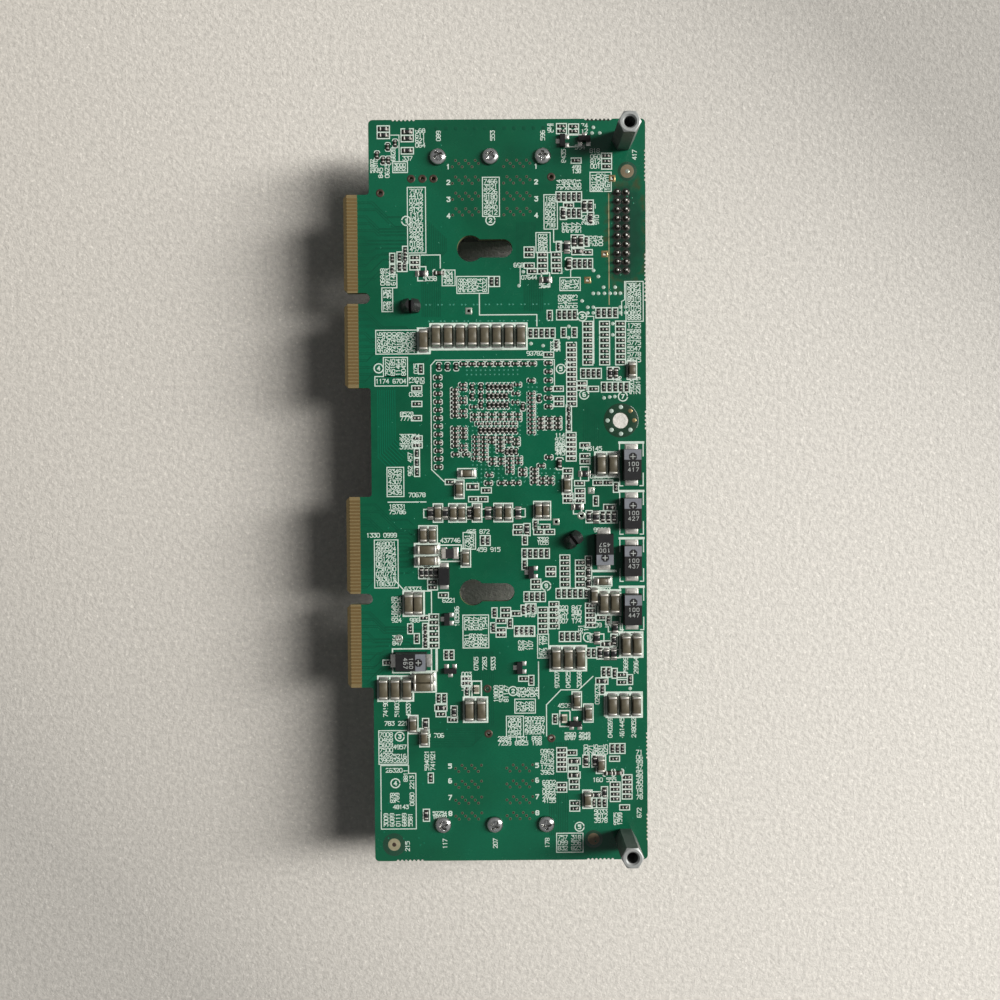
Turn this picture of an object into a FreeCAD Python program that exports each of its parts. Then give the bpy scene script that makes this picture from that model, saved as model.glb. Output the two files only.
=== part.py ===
import FreeCAD, Part
"""Drive backplane board, drawn as a parametric document.

The board lies component side down on its two ganged cable receptacles, with
the solder side up. The origin is the middle of the footprint, at the plane
that the receptacles stand on. +Y runs along the board, +X away from the card
edges, +Z up. Every driving dimension is a cell of the sheet "Sizes".
"""
import math
import os
from collections import namedtuple

import Sketcher

Vector = FreeCAD.Vector

os.makedirs("parts", exist_ok=True)
doc = FreeCAD.newDocument("drive_backplane")


# ---------------------------------------------------------------- the sheet

SIZES = {
    # circuit board
    "board_length": (172.6, "length of the board along Y"),
    "board_width": (64.0, "width of the board without its card edges"),
    "board_thickness": (1.6, "glass-epoxy laminate with its copper"),
    "board_corner": (1.0, "radius of the board's corners"),
    "break_hole": (0.6, "perforation left where a break-off tab was, across flats"),
    "break_pitch": (0.95, "pitch of those perforations"),
    "break_hole_sides": (6, "sides that a perforation is drawn with"),
    # card edges
    "tab_depth": (6.0, "how far a card edge stands out of the board"),
    "tab_long": (22.6, "card edge above its key notch"),
    "tab_short": (19.5, "card edge below its key notch"),
    "notch_width": (2.5, "key notch between the two parts of a card edge"),
    "upper_notch": (45.3, "key notch of the upper card edge, from the middle"),
    "lower_notch": (24.6, "key notch of the lower card edge, from the middle"),
    "tab_chamfer": (0.8, "corner chamfer of a card edge"),
    "tab_root": (0.7, "fillet where a card edge meets the board"),
    "bevel_run": (0.8, "lead-in bevel of a card edge, along the board"),
    "bevel_rise": (0.4, "lead-in bevel of a card edge, across the board"),
    "contact_pitch": (0.8, "pitch of the card-edge contacts"),
    "contact_width": (0.5, "width of one contact"),
    "contact_length": (2.45, "length of one contact"),
    "contact_setback": (0.85, "contact end to the outer end of the card edge"),
    "contact_gap": (2.0, "first contact to the middle of the key notch"),
    "contact_foil": (0.05, "plated thickness of a contact"),
    # keyholes and mounting hole
    "keyhole_radius": (3.05, "round end of a keyhole"),
    "keyhole_left": (-5.65, "middle of the round end"),
    "keyhole_right": (2.0, "middle of the slot's closed end"),
    "keyhole_slot": (4.2, "width of the keyhole's slot"),
    "upper_keyhole": (56.65, "upper keyhole, from the middle"),
    "lower_keyhole": (23.2, "lower keyhole, from the middle"),
    "mount_hole": (3.7, "diameter of the mounting hole"),
    "mount_hole_inset": (5.9, "mounting hole to the right-hand edge"),
    "mount_hole_rise": (16.65, "mounting hole above the middle"),
    "test_hole": (0.9, "plated test holes, across flats"),
    "test_hole_sides": (12, "sides that a test hole is drawn with"),
    # cable receptacles
    "receptacle_height": (18.0, "receptacle below the board"),
    "receptacle_width": (29.6, "ganged receptacle along X"),
    "receptacle_depth": (17.4, "ganged receptacle along Y"),
    "receptacle_middle": (-0.85, "middle of a receptacle along X"),
    "receptacle_inset": (15.7, "middle of the ports to the board's end"),
    "receptacle_lead": (0.7, "lead-in chamfer round a port"),
    "port_pitch": (12.1, "distance between ports, and between screws"),
    "port_width": (9.6, "mouth of a port along X"),
    "port_height": (12.2, "mouth of a port along Y"),
    "port_depth": (7.4, "free depth of a mouth, down to its insert"),
    "port_offset": (-0.9, "receptacle's middle past the ports, off the screws"),
    "insert_clearance": (0.1, "insert to the wall of its port"),
    "card_slot_width": (8.2, "slot for the plug's card, along X"),
    "card_slot_gap": (1.5, "slot for the plug's card, along Y"),
    "card_slot_depth": (5.0, "depth of the slot in the insert"),
    "card_slot_pitch": (7.4, "between the two slots of a port"),
    "row_pins": (9, "contacts in a row"),
    "pin_pitch": (0.75, "pitch of the receptacle's contacts"),
    "blade_width": (0.3, "one receptacle contact"),
    "blade_thickness": (0.2, "one receptacle contact"),
    # screws
    "screw_inset": (8.6, "receptacle screw to the board's end"),
    "screw_head": (3.8, "head diameter of a receptacle screw"),
    "screw_head_rise": (1.3, "head height of a receptacle screw"),
    "screw_shank": (2.0, "shank diameter of a receptacle screw"),
    "screw_reach": (8.0, "shank length below the head"),
    "screw_clearance": (0.1, "screw to its hole, on the diameter"),
    "bore_spare": (0.5, "bore beyond the end of its screw"),
    "screw_sides": (16, "sides that a screw is drawn with"),
    "screw_turn": (31.0, "turn from one screw's recess to the next, degrees"),
    "head_flat": (0.6, "flat top of a screw head, over its diameter"),
    "head_edge": (0.4, "upright edge of a screw head, over its height"),
    "recess_width": (0.5, "arm width of a cross recess"),
    "recess_span": (2.1, "tip to tip of a cross recess"),
    "recess_depth": (0.8, "depth of a cross recess"),
    # hexagonal standoffs
    "standoff_flats": (4.5, "width across flats"),
    "standoff_height": (12.5, "height above the board"),
    "standoff_bore": (2.5, "tapped bore"),
    "standoff_thread": (7.0, "depth of the tapped bore from the top"),
    "standoff_foot": (4.0, "depth of the bore from the board"),
    "standoff_lead": (0.35, "lead-in of the bore"),
    "standoff_turned": (4.2, "circle that the turned corners leave on the top face"),
    "standoff_slope": (30.0, "slope of the turned corners, degrees"),
    "standoff_inset_x": (5.2, "standoff to the right-hand edge"),
    "standoff_inset_y": (5.0, "standoff to the board's end"),
    "foot_screw_head": (5.0, "head of the screw that holds a standoff"),
    "foot_screw_rise": (1.8, "height of that head"),
    "foot_screw_shank": (2.4, "shank of that screw"),
    # processor and its cooler
    "package_side": (31.0, "side of the ball-grid package"),
    "package_x": (-0.8, "middle of the package along X"),
    "package_y": (16.2, "middle of the package along Y"),
    "substrate_height": (1.1, "laminate of the package"),
    "mould_height": (1.2, "moulded cap of the package"),
    "mould_side": (27.0, "side of the moulded cap"),
    "solder_height": (0.5, "solder balls under the package"),
    "pad_height": (0.4, "thermal pad"),
    "sink_width": (44.0, "heat sink along X"),
    "sink_length": (61.0, "heat sink along Y"),
    "sink_base": (2.4, "base plate of the heat sink"),
    "fin_height": (10.0, "fins below the base plate"),
    "fin_thickness": (1.1, "one fin"),
    "fin_count": (11, "fins across the heat sink"),
    "pin_span_x": (37.4, "between the push pins along X"),
    "pin_span_y": (54.4, "between the push pins along Y"),
    "pin_shaft": (2.6, "shaft of a push pin"),
    "pin_hole": (3.0, "hole for a push pin"),
    "pin_barb": (4.6, "barb of a push pin, tip to tip"),
    "pin_barb_rise": (3.0, "barb above the board"),
    "pin_flat": (3.0, "barb across its flats"),
    "pin_lip": (0.75, "upright edge of the barb"),
    "pin_tip": (2.1, "tip of the barb, across"),
    "pin_slit": (0.65, "slit through the barb and into the shaft"),
    "pin_slit_depth": (1.0, "slit below the board's top face"),
    "pin_room": (1.0, "fins cut back round a push pin's head"),
    "pin_head": (6.4, "head of a push pin"),
    "pin_head_rise": (1.4, "height of that head"),
    "pin_turn": (37.0, "turn of the lower push pin, degrees"),
    "spring_length": (4.0, "spring between the head and the heat sink"),
    "spring_wire": (0.5, "wire of the spring"),
    "spring_turns": (3, "turns of the spring"),
    "spring_steps": (12, "sections of the spring in one turn"),
    "spring_sides": (6, "sides of the spring's wire"),
    # pin header
    "header_rows": (10, "rows of the pin header"),
    "header_pitch": (2.0, "pitch of the pin header"),
    "header_inset": (5.6, "middle of the header to the right-hand edge"),
    "header_drop": (26.0, "middle of the header to the board's end"),
    "header_body": (2.0, "insulator below the board"),
    "header_pin": (0.5, "side of a pin"),
    "header_hole": (0.8, "hole for a pin, across flats"),
    "header_hole_sides": (8, "sides that a pin's hole is drawn with"),
    "header_below": (8.0, "pin below the board"),
    "header_above": (1.1, "pin above the board"),
}

sheet = doc.addObject("Spreadsheet::Sheet", "Sizes")
for line, (alias, (amount, note)) in enumerate(SIZES.items(), start=1):
    sheet.set(f"A{line}", alias)
    sheet.set(f"B{line}", str(amount))
    sheet.setAlias(f"B{line}", alias)
    sheet.set(f"C{line}", note)
doc.recompute()

CELLS = {alias: f"Sizes.{alias}" for alias in SIZES}


def formula(text):
    """Return an expression on the sheet for text such as '{tab_depth} / 2'."""
    return text.format_map(CELLS)


def size(alias):
    """Return a cell of the sheet as a number."""
    return float(sheet.get(alias))


def count(alias):
    """Return a cell of the sheet as a whole number."""
    return int(round(size(alias)))


# Expressions that several pieces share.
LEFT_EDGE = "({tab_depth} - {board_width}) / 2"
RIGHT_EDGE = "({tab_depth} + {board_width}) / 2"
OUTER_END = "-({tab_depth} + {board_width}) / 2"
TOP_FACE = "{receptacle_height} + {board_thickness}"
END = {"upper": "{board_length} / 2", "lower": "-{board_length} / 2"}
SIGN = {"upper": 1, "lower": -1}

# The same places as numbers, for groups of small solids.
right_edge = (size("tab_depth") + size("board_width")) / 2
outer_end = -right_edge
half_length = size("board_length") / 2
left_edge = right_edge - size("board_width")
under_side = size("receptacle_height")
top_side = under_side + size("board_thickness")

# The board that the places of the small parts are written for. They spread
# with the board when its length or width changes.
Layout = namedtuple("Layout", "left width length")
LAYOUT = Layout(-29.0, 64.0, 172.6)


def spread(x, y):
    """Return a place of the layout on the board as it is sized."""
    return (left_edge + (x - LAYOUT.left) * size("board_width") / LAYOUT.width,
            y * size("board_length") / LAYOUT.length)


# ------------------------------------------------------- part design helpers

def origin_plane(body, role):
    """Return a body's own origin plane, such as XY_Plane."""
    return next(item for item in body.Origin.OriginFeatures if item.Role == role)


def new_body(label, x="0", y="0", z="0"):
    """Add a body whose placement follows three expressions."""
    body = doc.addObject("PartDesign::Body", label)
    body.Label = label
    body.Placement = FreeCAD.Placement()
    for axis, text in zip("xyz", (x, y, z)):
        body.setExpression(f"Placement.Base.{axis}", formula(text))
    return body


def new_sketch(body, name, role="XY_Plane", offset="0"):
    """Attach a sketch to one of the body's planes, offset along its normal."""
    sketch = body.newObject("Sketcher::SketchObject", name)
    sketch.AttachmentSupport = (origin_plane(body, role), [""])
    sketch.MapMode = "FlatFace"
    sketch.setExpression("AttachmentOffset.Base.z", formula(offset))
    return sketch


def drive(sketch, kind, *where, by):
    """Add a dimension to a sketch and bind it to an expression."""
    index = sketch.addConstraint(Sketcher.Constraint(kind, *where, 1.0))
    sketch.setExpression(f"Constraints[{index}]", formula(by))


def add_rectangle(sketch, left, bottom, width, height):
    """Draw an upright rectangle from its lower left corner."""
    first = sketch.GeometryCount
    corners = [Vector(0, 0), Vector(1, 0), Vector(1, 1), Vector(0, 1)]
    for number, corner in enumerate(corners):
        sketch.addGeometry(Part.LineSegment(corner, corners[(number + 1) % 4]))
    for number in range(4):
        following = first + (number + 1) % 4
        sketch.addConstraint(
            Sketcher.Constraint("Coincident", first + number, 2, following, 1))
        direction = "Vertical" if number % 2 else "Horizontal"
        sketch.addConstraint(Sketcher.Constraint(direction, first + number))
    drive(sketch, "DistanceX", first, 1, first, 2, by=width)
    drive(sketch, "DistanceY", first + 1, 1, first + 1, 2, by=height)
    drive(sketch, "DistanceX", -1, 1, first, 1, by=left)
    drive(sketch, "DistanceY", -1, 1, first, 1, by=bottom)


def add_circle(sketch, x, y, radius):
    """Draw a circle from its middle and radius."""
    index = sketch.addGeometry(Part.Circle(Vector(0, 0), Vector(0, 0, 1), 1.0))
    drive(sketch, "Radius", index, by=radius)
    drive(sketch, "DistanceX", -1, 1, index, 3, by=x)
    drive(sketch, "DistanceY", -1, 1, index, 3, by=y)


def pad(body, sketch, name, length, taper=None, reverse=False):
    """Raise a sketch by a length given as an expression."""
    feature = body.newObject("PartDesign::Pad", name)
    feature.Profile = sketch
    feature.Reversed = reverse
    feature.setExpression("Length", formula(length))
    if taper is not None:
        feature.TaperAngle = taper
    body.Tip = feature
    doc.recompute()
    return feature


def pocket(body, sketch, name, depth=None, reverse=False):
    """Cut a sketch into the body, through everything unless a depth is given."""
    before = body.Shape.Volume
    feature = body.newObject("PartDesign::Pocket", name)
    feature.Profile = sketch
    feature.Reversed = reverse
    if depth is None:
        feature.Type = "ThroughAll"
    else:
        feature.setExpression("Length", formula(depth))
    body.Tip = feature
    doc.recompute()
    if not body.Shape.Volume < before:
        raise ValueError(f"{name} removes nothing")
    return feature


def add_drill(sketch, x, y, across, sides):
    """Draw a small drilled hole as a polygon of a few sides round a place."""
    radius = across / 2 / math.cos(math.pi / sides)
    turns = [2 * math.pi * (side + 0.5) / sides for side in range(sides)]
    corners = [Vector(x + radius * math.cos(turn), y + radius * math.sin(turn))
               for turn in turns]
    for start, end in zip(corners, corners[1:] + corners[:1]):
        sketch.addGeometry(Part.LineSegment(start, end))


def upright_edges(shape, places, reach=0.05):
    """Name the edges parallel to Z that stand at the given places."""
    names = []
    for number, edge in enumerate(shape.Edges, start=1):
        ends = [vertex.Point for vertex in edge.Vertexes]
        if len(ends) < 2 or math.hypot(ends[0].x - ends[1].x, ends[0].y - ends[1].y) > reach:
            continue
        if any(math.hypot(ends[0].x - x, ends[0].y - y) < reach for x, y in places):
            names.append(f"Edge{number}")
    return names


def dress(body, kind, name, edges, **bindings):
    """Fillet or chamfer named edges of the body's tip."""
    base = body.Tip
    feature = body.newObject(f"PartDesign::{kind}", name)
    feature.Base = (base, edges)
    for key, text in bindings.items():
        feature.setExpression(key, formula(text))
    body.Tip = feature
    doc.recompute()
    return feature


def add_group(label, solids, x=0.0, y=0.0, z=0.0):
    """Add a group of loose solids as one object, shifted to its place."""
    feature = doc.addObject("Part::Feature", label)
    feature.Label = label
    feature.Shape = Part.makeCompound(solids)
    feature.Placement = FreeCAD.Placement(Vector(x, y, z), FreeCAD.Rotation())
    return feature


def box(length, width, height, x=0.0, y=0.0, z=0.0):
    """Return a block whose lower face is centred on a point."""
    corner = Vector(x - length / 2, y - width / 2, z)
    return Part.makeBox(length, width, height, corner)


# ------------------------------------------------------------- circuit board

def card_edge_span(level):
    """Return a card edge's lower end and its length, as expressions."""
    if level == "upper":
        return "{upper_notch} - {notch_width} / 2 - {tab_short}"
    return "-{lower_notch} - {notch_width} / 2 - {tab_short}"


def notch_middle(level):
    """Return the middle of a card edge's key notch, as an expression."""
    return "{upper_notch}" if level == "upper" else "-{lower_notch}"


def build_circuit_board():
    """Build the board with its card edges, keyholes and drilled holes."""
    board = new_body("circuit_board", z="{receptacle_height}")
    outline = new_sketch(board, "outline")
    add_rectangle(outline, LEFT_EDGE, END["lower"], "{board_width}", "{board_length}")
    pad(board, outline, "blank", "{board_thickness}")

    card_edges = new_sketch(board, "card_edges")
    overlap = "{tab_depth} + {board_corner}"
    length = "{tab_long} + {notch_width} + {tab_short}"
    for level in ("upper", "lower"):
        add_rectangle(card_edges, OUTER_END, card_edge_span(level), overlap, length)
    pad(board, card_edges, "card_edge_blank", "{board_thickness}")

    top = "{board_thickness}"
    notches = new_sketch(board, "notches", offset=top)
    notch_ends = new_sketch(board, "notch_ends", offset=top)
    for level in ("upper", "lower"):
        middle = notch_middle(level)
        add_rectangle(notches, f"{OUTER_END} - 1", f"{middle} - {{notch_width}} / 2",
                      "1 + {tab_depth} - {notch_width} / 2", "{notch_width}")
        add_circle(notch_ends, f"{LEFT_EDGE} - {{notch_width}} / 2", middle, "{notch_width} / 2")
    pocket(board, notches, "notch_cut")
    pocket(board, notch_ends, "notch_end_cut")

    rounds = new_sketch(board, "keyhole_rounds", offset=top)
    slots = new_sketch(board, "keyhole_slots", offset=top)
    slot_ends = new_sketch(board, "keyhole_ends", offset=top)
    for middle in ("{upper_keyhole}", "-{lower_keyhole}"):
        add_circle(rounds, "{keyhole_left}", middle, "{keyhole_radius}")
        add_rectangle(slots, "{keyhole_left}", f"{middle} - {{keyhole_slot}} / 2",
                      "{keyhole_right} - {keyhole_left}", "{keyhole_slot}")
        add_circle(slot_ends, "{keyhole_right}", middle, "{keyhole_slot} / 2")
    pocket(board, rounds, "keyhole_round_cut")
    pocket(board, slots, "keyhole_slot_cut")
    pocket(board, slot_ends, "keyhole_end_cut")

    holes = new_sketch(board, "fastener_holes", offset=top)
    add_circle(holes, f"{RIGHT_EDGE} - {{mount_hole_inset}}", "{mount_hole_rise}",
               "{mount_hole} / 2")
    for level in ("upper", "lower"):
        sign = SIGN[level]
        add_circle(holes, f"{RIGHT_EDGE} - {{standoff_inset_x}}",
                   f"{END[level]} - {sign} * {{standoff_inset_y}}",
                   "({foot_screw_shank} + {screw_clearance}) / 2")
        for step in (-1, 0, 1):
            add_circle(holes, f"{{receptacle_middle}} + {step} * {{port_pitch}}",
                       f"{END[level]} - {sign} * {{screw_inset}}",
                       "({screw_shank} + {screw_clearance}) / 2")
    for side in (-1, 1):
        add_circle(holes, f"{{package_x}} + {side} * {{pin_span_x}} / 2",
                   f"{{package_y}} - {side} * {{pin_span_y}} / 2", "{pin_hole} / 2")
    pocket(board, holes, "fastener_drilling")

    finish_board_edges(board)
    drill_small_holes(board)
    return board


# Plated holes, x and y in the layout.
TEST_HOLES = [
    (-19.2, 72.75), (-16.6, 72.75), (-14.05, 72.75), (-26.4, 69.5), (13.2, 73.0),
    (27.3, 72.6), (25.5, 55.2), (21.5, 49.2), (-6.1, 42.25), (13.9, -6.85),
    (19.8, -5.4), (22.1, 0.4), (-23.0, -33.9), (-2.4, -45.8), (-2.2, -56.4),
    (12.5, -57.6),
]


# Break-off tabs along the outline: the edge, its middle in the layout, and its holes.
Tab = namedtuple("Tab", "edge middle holes")
BREAK_TABS = [
    Tab("right", 75.6, 8), Tab("right", 49.8, 12), Tab("right", 16.7, 5), Tab("right", -59.5, 7),
    Tab("right", -78.7, 7), Tab("upper", -20.9, 6), Tab("upper", 24.1, 7),
    Tab("lower", -20.8, 7), Tab("lower", 23.9, 7),
]


def tab_holes(tab):
    """Return the places of a tab's perforations, on the board's outline."""
    steps = [(k - (tab.holes - 1) / 2) * size("break_pitch") for k in range(tab.holes)]
    if tab.edge == "right":
        middle = spread(0.0, tab.middle)[1]
        return [(right_edge, middle + step) for step in steps]
    middle = spread(tab.middle, 0.0)[0]
    return [(middle + step, SIGN[tab.edge] * half_length) for step in steps]


def header_middle():
    """Return the middle of the pin header."""
    return (right_edge - size("header_inset"), half_length - size("header_drop"))


def header_places():
    """Return the header's pin places."""
    rows, pitch = count("header_rows"), size("header_pitch")
    x0, y0 = header_middle()
    return [(x0 + column * pitch, y0 + (row - (rows - 1) / 2) * pitch)
            for row in range(rows) for column in (-0.5, 0.5)]


def drill_small_holes(board):
    """Drill the test holes, the header's holes and the break-off perforations."""
    small = new_sketch(board, "small_holes", offset="{board_thickness}")
    for place in TEST_HOLES:
        add_drill(small, *spread(*place), size("test_hole"), count("test_hole_sides"))
    for place in header_places():
        add_drill(small, *place, size("header_hole"), count("header_hole_sides"))
    for tab in BREAK_TABS:
        for place in tab_holes(tab):
            add_drill(small, *place, size("break_hole"), count("break_hole_sides"))
    pocket(board, small, "small_drilling")


def finish_board_edges(board):
    """Round the corners, ease the card edges and bevel their ends."""
    left = outer_end + size("tab_depth")
    notch = size("notch_width") / 2
    corners = [(x, y) for x in (left, right_edge) for y in (-half_length, half_length)]
    ends, roots = [], []
    for middle in (size("upper_notch"), -size("lower_notch")):
        top = middle + notch + size("tab_long")
        bottom = middle - notch - size("tab_short")
        ends += [(outer_end, y) for y in (top, bottom, middle + notch, middle - notch)]
        roots += [(left, y) for y in (top, bottom)]
    dress(board, "Fillet", "corner_rounds", upright_edges(board.Shape, corners, 0.05),
          Radius="{board_corner}")
    dress(board, "Fillet", "tab_roots", upright_edges(board.Shape, roots, 0.05),
          Radius="{tab_root}")
    dress(board, "Chamfer", "tab_corners", upright_edges(board.Shape, ends, 0.05),
          Size="{tab_chamfer}")
    bevel_card_edges(board)


def bevel_card_edges(board):
    """Cut the lead-in bevels with one wedge profile above and one below."""
    for name, face, sign in (("upper_bevel", "{board_thickness}", -1), ("lower_bevel", "0", 1)):
        profile = new_sketch(board, name, role="XZ_Plane", offset=f"-({END['upper']})")
        corner = [Vector(0, 0), Vector(1, 0), Vector(0, sign)]
        for number in range(3):
            profile.addGeometry(Part.LineSegment(corner[number], corner[(number + 1) % 3]))
        for number in range(3):
            profile.addConstraint(
                Sketcher.Constraint("Coincident", number, 2, (number + 1) % 3, 1))
        profile.addConstraint(Sketcher.Constraint("Horizontal", 0))
        profile.addConstraint(Sketcher.Constraint("Vertical", 2))
        drive(profile, "DistanceX", 0, 1, 0, 2, by="{bevel_run}")
        drive(profile, "DistanceY", 0, 1, 2, 1, by=f"{sign} * {{bevel_rise}}")
        drive(profile, "DistanceX", -1, 1, 0, 1, by=OUTER_END)
        drive(profile, "DistanceY", -1, 1, 0, 1, by=face)
        pocket(board, profile, f"{name}_cut", reverse=True)


# --------------------------------------------------------- card-edge contacts

def contact_rows(level):
    """Return the Y places of a card edge's contacts, from the top down."""
    middle = size("upper_notch") if level == "upper" else -size("lower_notch")
    pitch = size("contact_pitch")
    gap = size("contact_gap")
    room = size("notch_width") / 2 + size("contact_width") / 2 + size("tab_chamfer") / 4
    above = int((size("tab_long") + size("notch_width") / 2 - gap - room / 2) / pitch) + 1
    below = int((size("tab_short") + size("notch_width") / 2 - gap - room / 2) / pitch) + 1
    places = [middle + gap + pitch * number for number in reversed(range(above))]
    places += [middle - gap - pitch * number for number in range(below)]
    return places


def build_contacts(level):
    """Lay the plated contacts on both faces of one card edge."""
    length, width, foil = (size("contact_length"), size("contact_width"), size("contact_foil"))
    x = outer_end + size("contact_setback") + length / 2
    solids = []
    for y in contact_rows(level):
        solids.append(box(length, width, foil, x, y, top_side))
        solids.append(box(length, width, foil, x, y, under_side - foil))
    return add_group(f"edge_contacts_{level}", solids)


# ----------------------------------------------------------- cable receptacles

def receptacle_centre(level):
    """Return the middle of a receptacle's ports along Y, as an expression."""
    return f"{END[level]} - {SIGN[level]} * {{receptacle_inset}}"


def build_receptacle(level):
    """Build the cast housing of a ganged receptacle, mouths down."""
    sign = SIGN[level]
    shell = new_body(f"receptacle_housing_{level}", "{receptacle_middle}",
                     receptacle_centre(level))
    outline = new_sketch(shell, f"housing_outline_{level}")
    add_rectangle(outline, "-{receptacle_width} / 2",
                  f"-{{receptacle_depth}} / 2 - {sign} * {{port_offset}}",
                  "{receptacle_width}", "{receptacle_depth}")
    pad(shell, outline, f"housing_block_{level}", "{receptacle_height}")

    mouths = new_sketch(shell, f"housing_ports_{level}", offset="{receptacle_height}")
    for side in (-0.5, 0.5):
        add_rectangle(mouths, f"{side} * {{port_pitch}} - {{port_width}} / 2",
                      "-{port_height} / 2", "{port_width}", "{port_height}")
    pocket(shell, mouths, f"housing_port_cut_{level}")

    flare = new_sketch(shell, f"housing_flare_{level}")
    lead = "{receptacle_lead}"
    for side in (-0.5, 0.5):
        add_rectangle(flare, f"{side} * {{port_pitch}} - {{port_width}} / 2 - {lead}",
                      f"-{{port_height}} / 2 - {lead}", f"{{port_width}} + 2 * {lead}",
                      f"{{port_height}} + 2 * {lead}")
    pocket(shell, flare, f"housing_flare_cut_{level}", depth=lead, reverse=True)

    bores = new_sketch(shell, f"housing_bores_{level}", offset="{receptacle_height}")
    for step in (-1, 0, 1):
        add_circle(bores, f"{step} * {{port_pitch}}",
                   f"{sign} * ({{receptacle_inset}} - {{screw_inset}})",
                   "({screw_shank} + {screw_clearance}) / 2")
    pocket(shell, bores, f"housing_bore_cut_{level}",
           depth="{screw_reach} - {board_thickness} + {bore_spare}")
    return shell


def build_insert(level, side_name, side):
    """Build the insulator that fills the board end of one port."""
    insert = new_body(f"port_insert_{level}_{side_name}",
                      f"{{receptacle_middle}} + {side} * {{port_pitch}} / 2",
                      receptacle_centre(level), "{port_depth}")
    tag = f"{level}_{side_name}"
    outline = new_sketch(insert, f"insert_outline_{tag}")
    add_rectangle(outline, "-{port_width} / 2 + {insert_clearance}",
                  "-{port_height} / 2 + {insert_clearance}",
                  "{port_width} - 2 * {insert_clearance}",
                  "{port_height} - 2 * {insert_clearance}")
    pad(insert, outline, f"insert_block_{tag}", "{receptacle_height} - {port_depth}")
    slots = new_sketch(insert, f"insert_slots_{tag}")
    for place in (-0.5, 0.5):
        add_rectangle(slots, "-{card_slot_width} / 2",
                      f"{place} * {{card_slot_pitch}} - {{card_slot_gap}} / 2",
                      "{card_slot_width}", "{card_slot_gap}")
    pocket(insert, slots, f"insert_slot_cut_{tag}", depth="{card_slot_depth}", reverse=True)
    return insert


def build_port_contacts(level):
    """Line both walls of every card slot with spring blades."""
    middle = SIGN[level] * (half_length - size("receptacle_inset"))
    pitch = size("pin_pitch")
    pins = count("row_pins")
    reach = (size("card_slot_gap") - size("blade_thickness")) / 2
    solids = []
    for port in (-0.5, 0.5):
        port_x = size("receptacle_middle") + port * size("port_pitch")
        for slot in (-0.5, 0.5):
            for wall in (-1, 1):
                y = middle + slot * size("card_slot_pitch") + wall * reach
                for pin in range(pins):
                    x = port_x + (pin - (pins - 1) / 2) * pitch
                    solids.append(box(size("blade_width"), size("blade_thickness"),
                                      size("card_slot_depth"), x, y, size("port_depth")))
    return add_group(f"port_contacts_{level}", solids)


# -------------------------------------------------------------------- screws

def ring(radius, z):
    """Return a level ring of a screw, as a regular polygon."""
    sides = count("screw_sides")
    turns = [2 * math.pi * side / sides for side in range(sides + 1)]
    return Part.makePolygon([Vector(radius * math.cos(t), radius * math.sin(t), z) for t in turns])


def pan_screw(head, rise, shank, reach):
    """Return a pan-head screw, head up, with its seat at the origin."""
    flat, edge = head / 2 * size("head_flat"), rise * size("head_edge")
    crown = Part.makeLoft([ring(head / 2, 0), ring(head / 2, edge), ring(flat, rise)], True, True)
    body = crown.fuse(Part.makeLoft([ring(shank / 2, -reach), ring(shank / 2, 0)], True, True))
    span, width, depth = size("recess_span"), size("recess_width"), size("recess_depth")
    cross = [box(span, width, depth, z=rise - depth), box(width, span, depth, z=rise - depth)]
    return body.cut(cross[0].fuse(cross[1])).removeSplitter()


def copies(shape, places, turn=0.0):
    """Return a copy of a shape at each place, turned about its own axis."""
    moved = []
    for number, place in enumerate(places):
        copy = shape.copy()
        rotation = FreeCAD.Rotation(Vector(0, 0, 1), turn * (number + 1))
        copy.Placement = FreeCAD.Placement(Vector(*place), rotation)
        moved.append(copy)
    return moved


def build_connector_screws(level):
    """Place the three screws that hold a receptacle to the board."""
    screw = pan_screw(size("screw_head"), size("screw_head_rise"), size("screw_shank"),
                      size("screw_reach"))
    y = SIGN[level] * (half_length - size("screw_inset"))
    places = [(size("receptacle_middle") + step * size("port_pitch"), y, top_side)
              for step in (-1, 0, 1)]
    return add_group(f"receptacle_screws_{level}", copies(screw, places, size("screw_turn")))


# ----------------------------------------------------------------- standoffs

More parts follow.
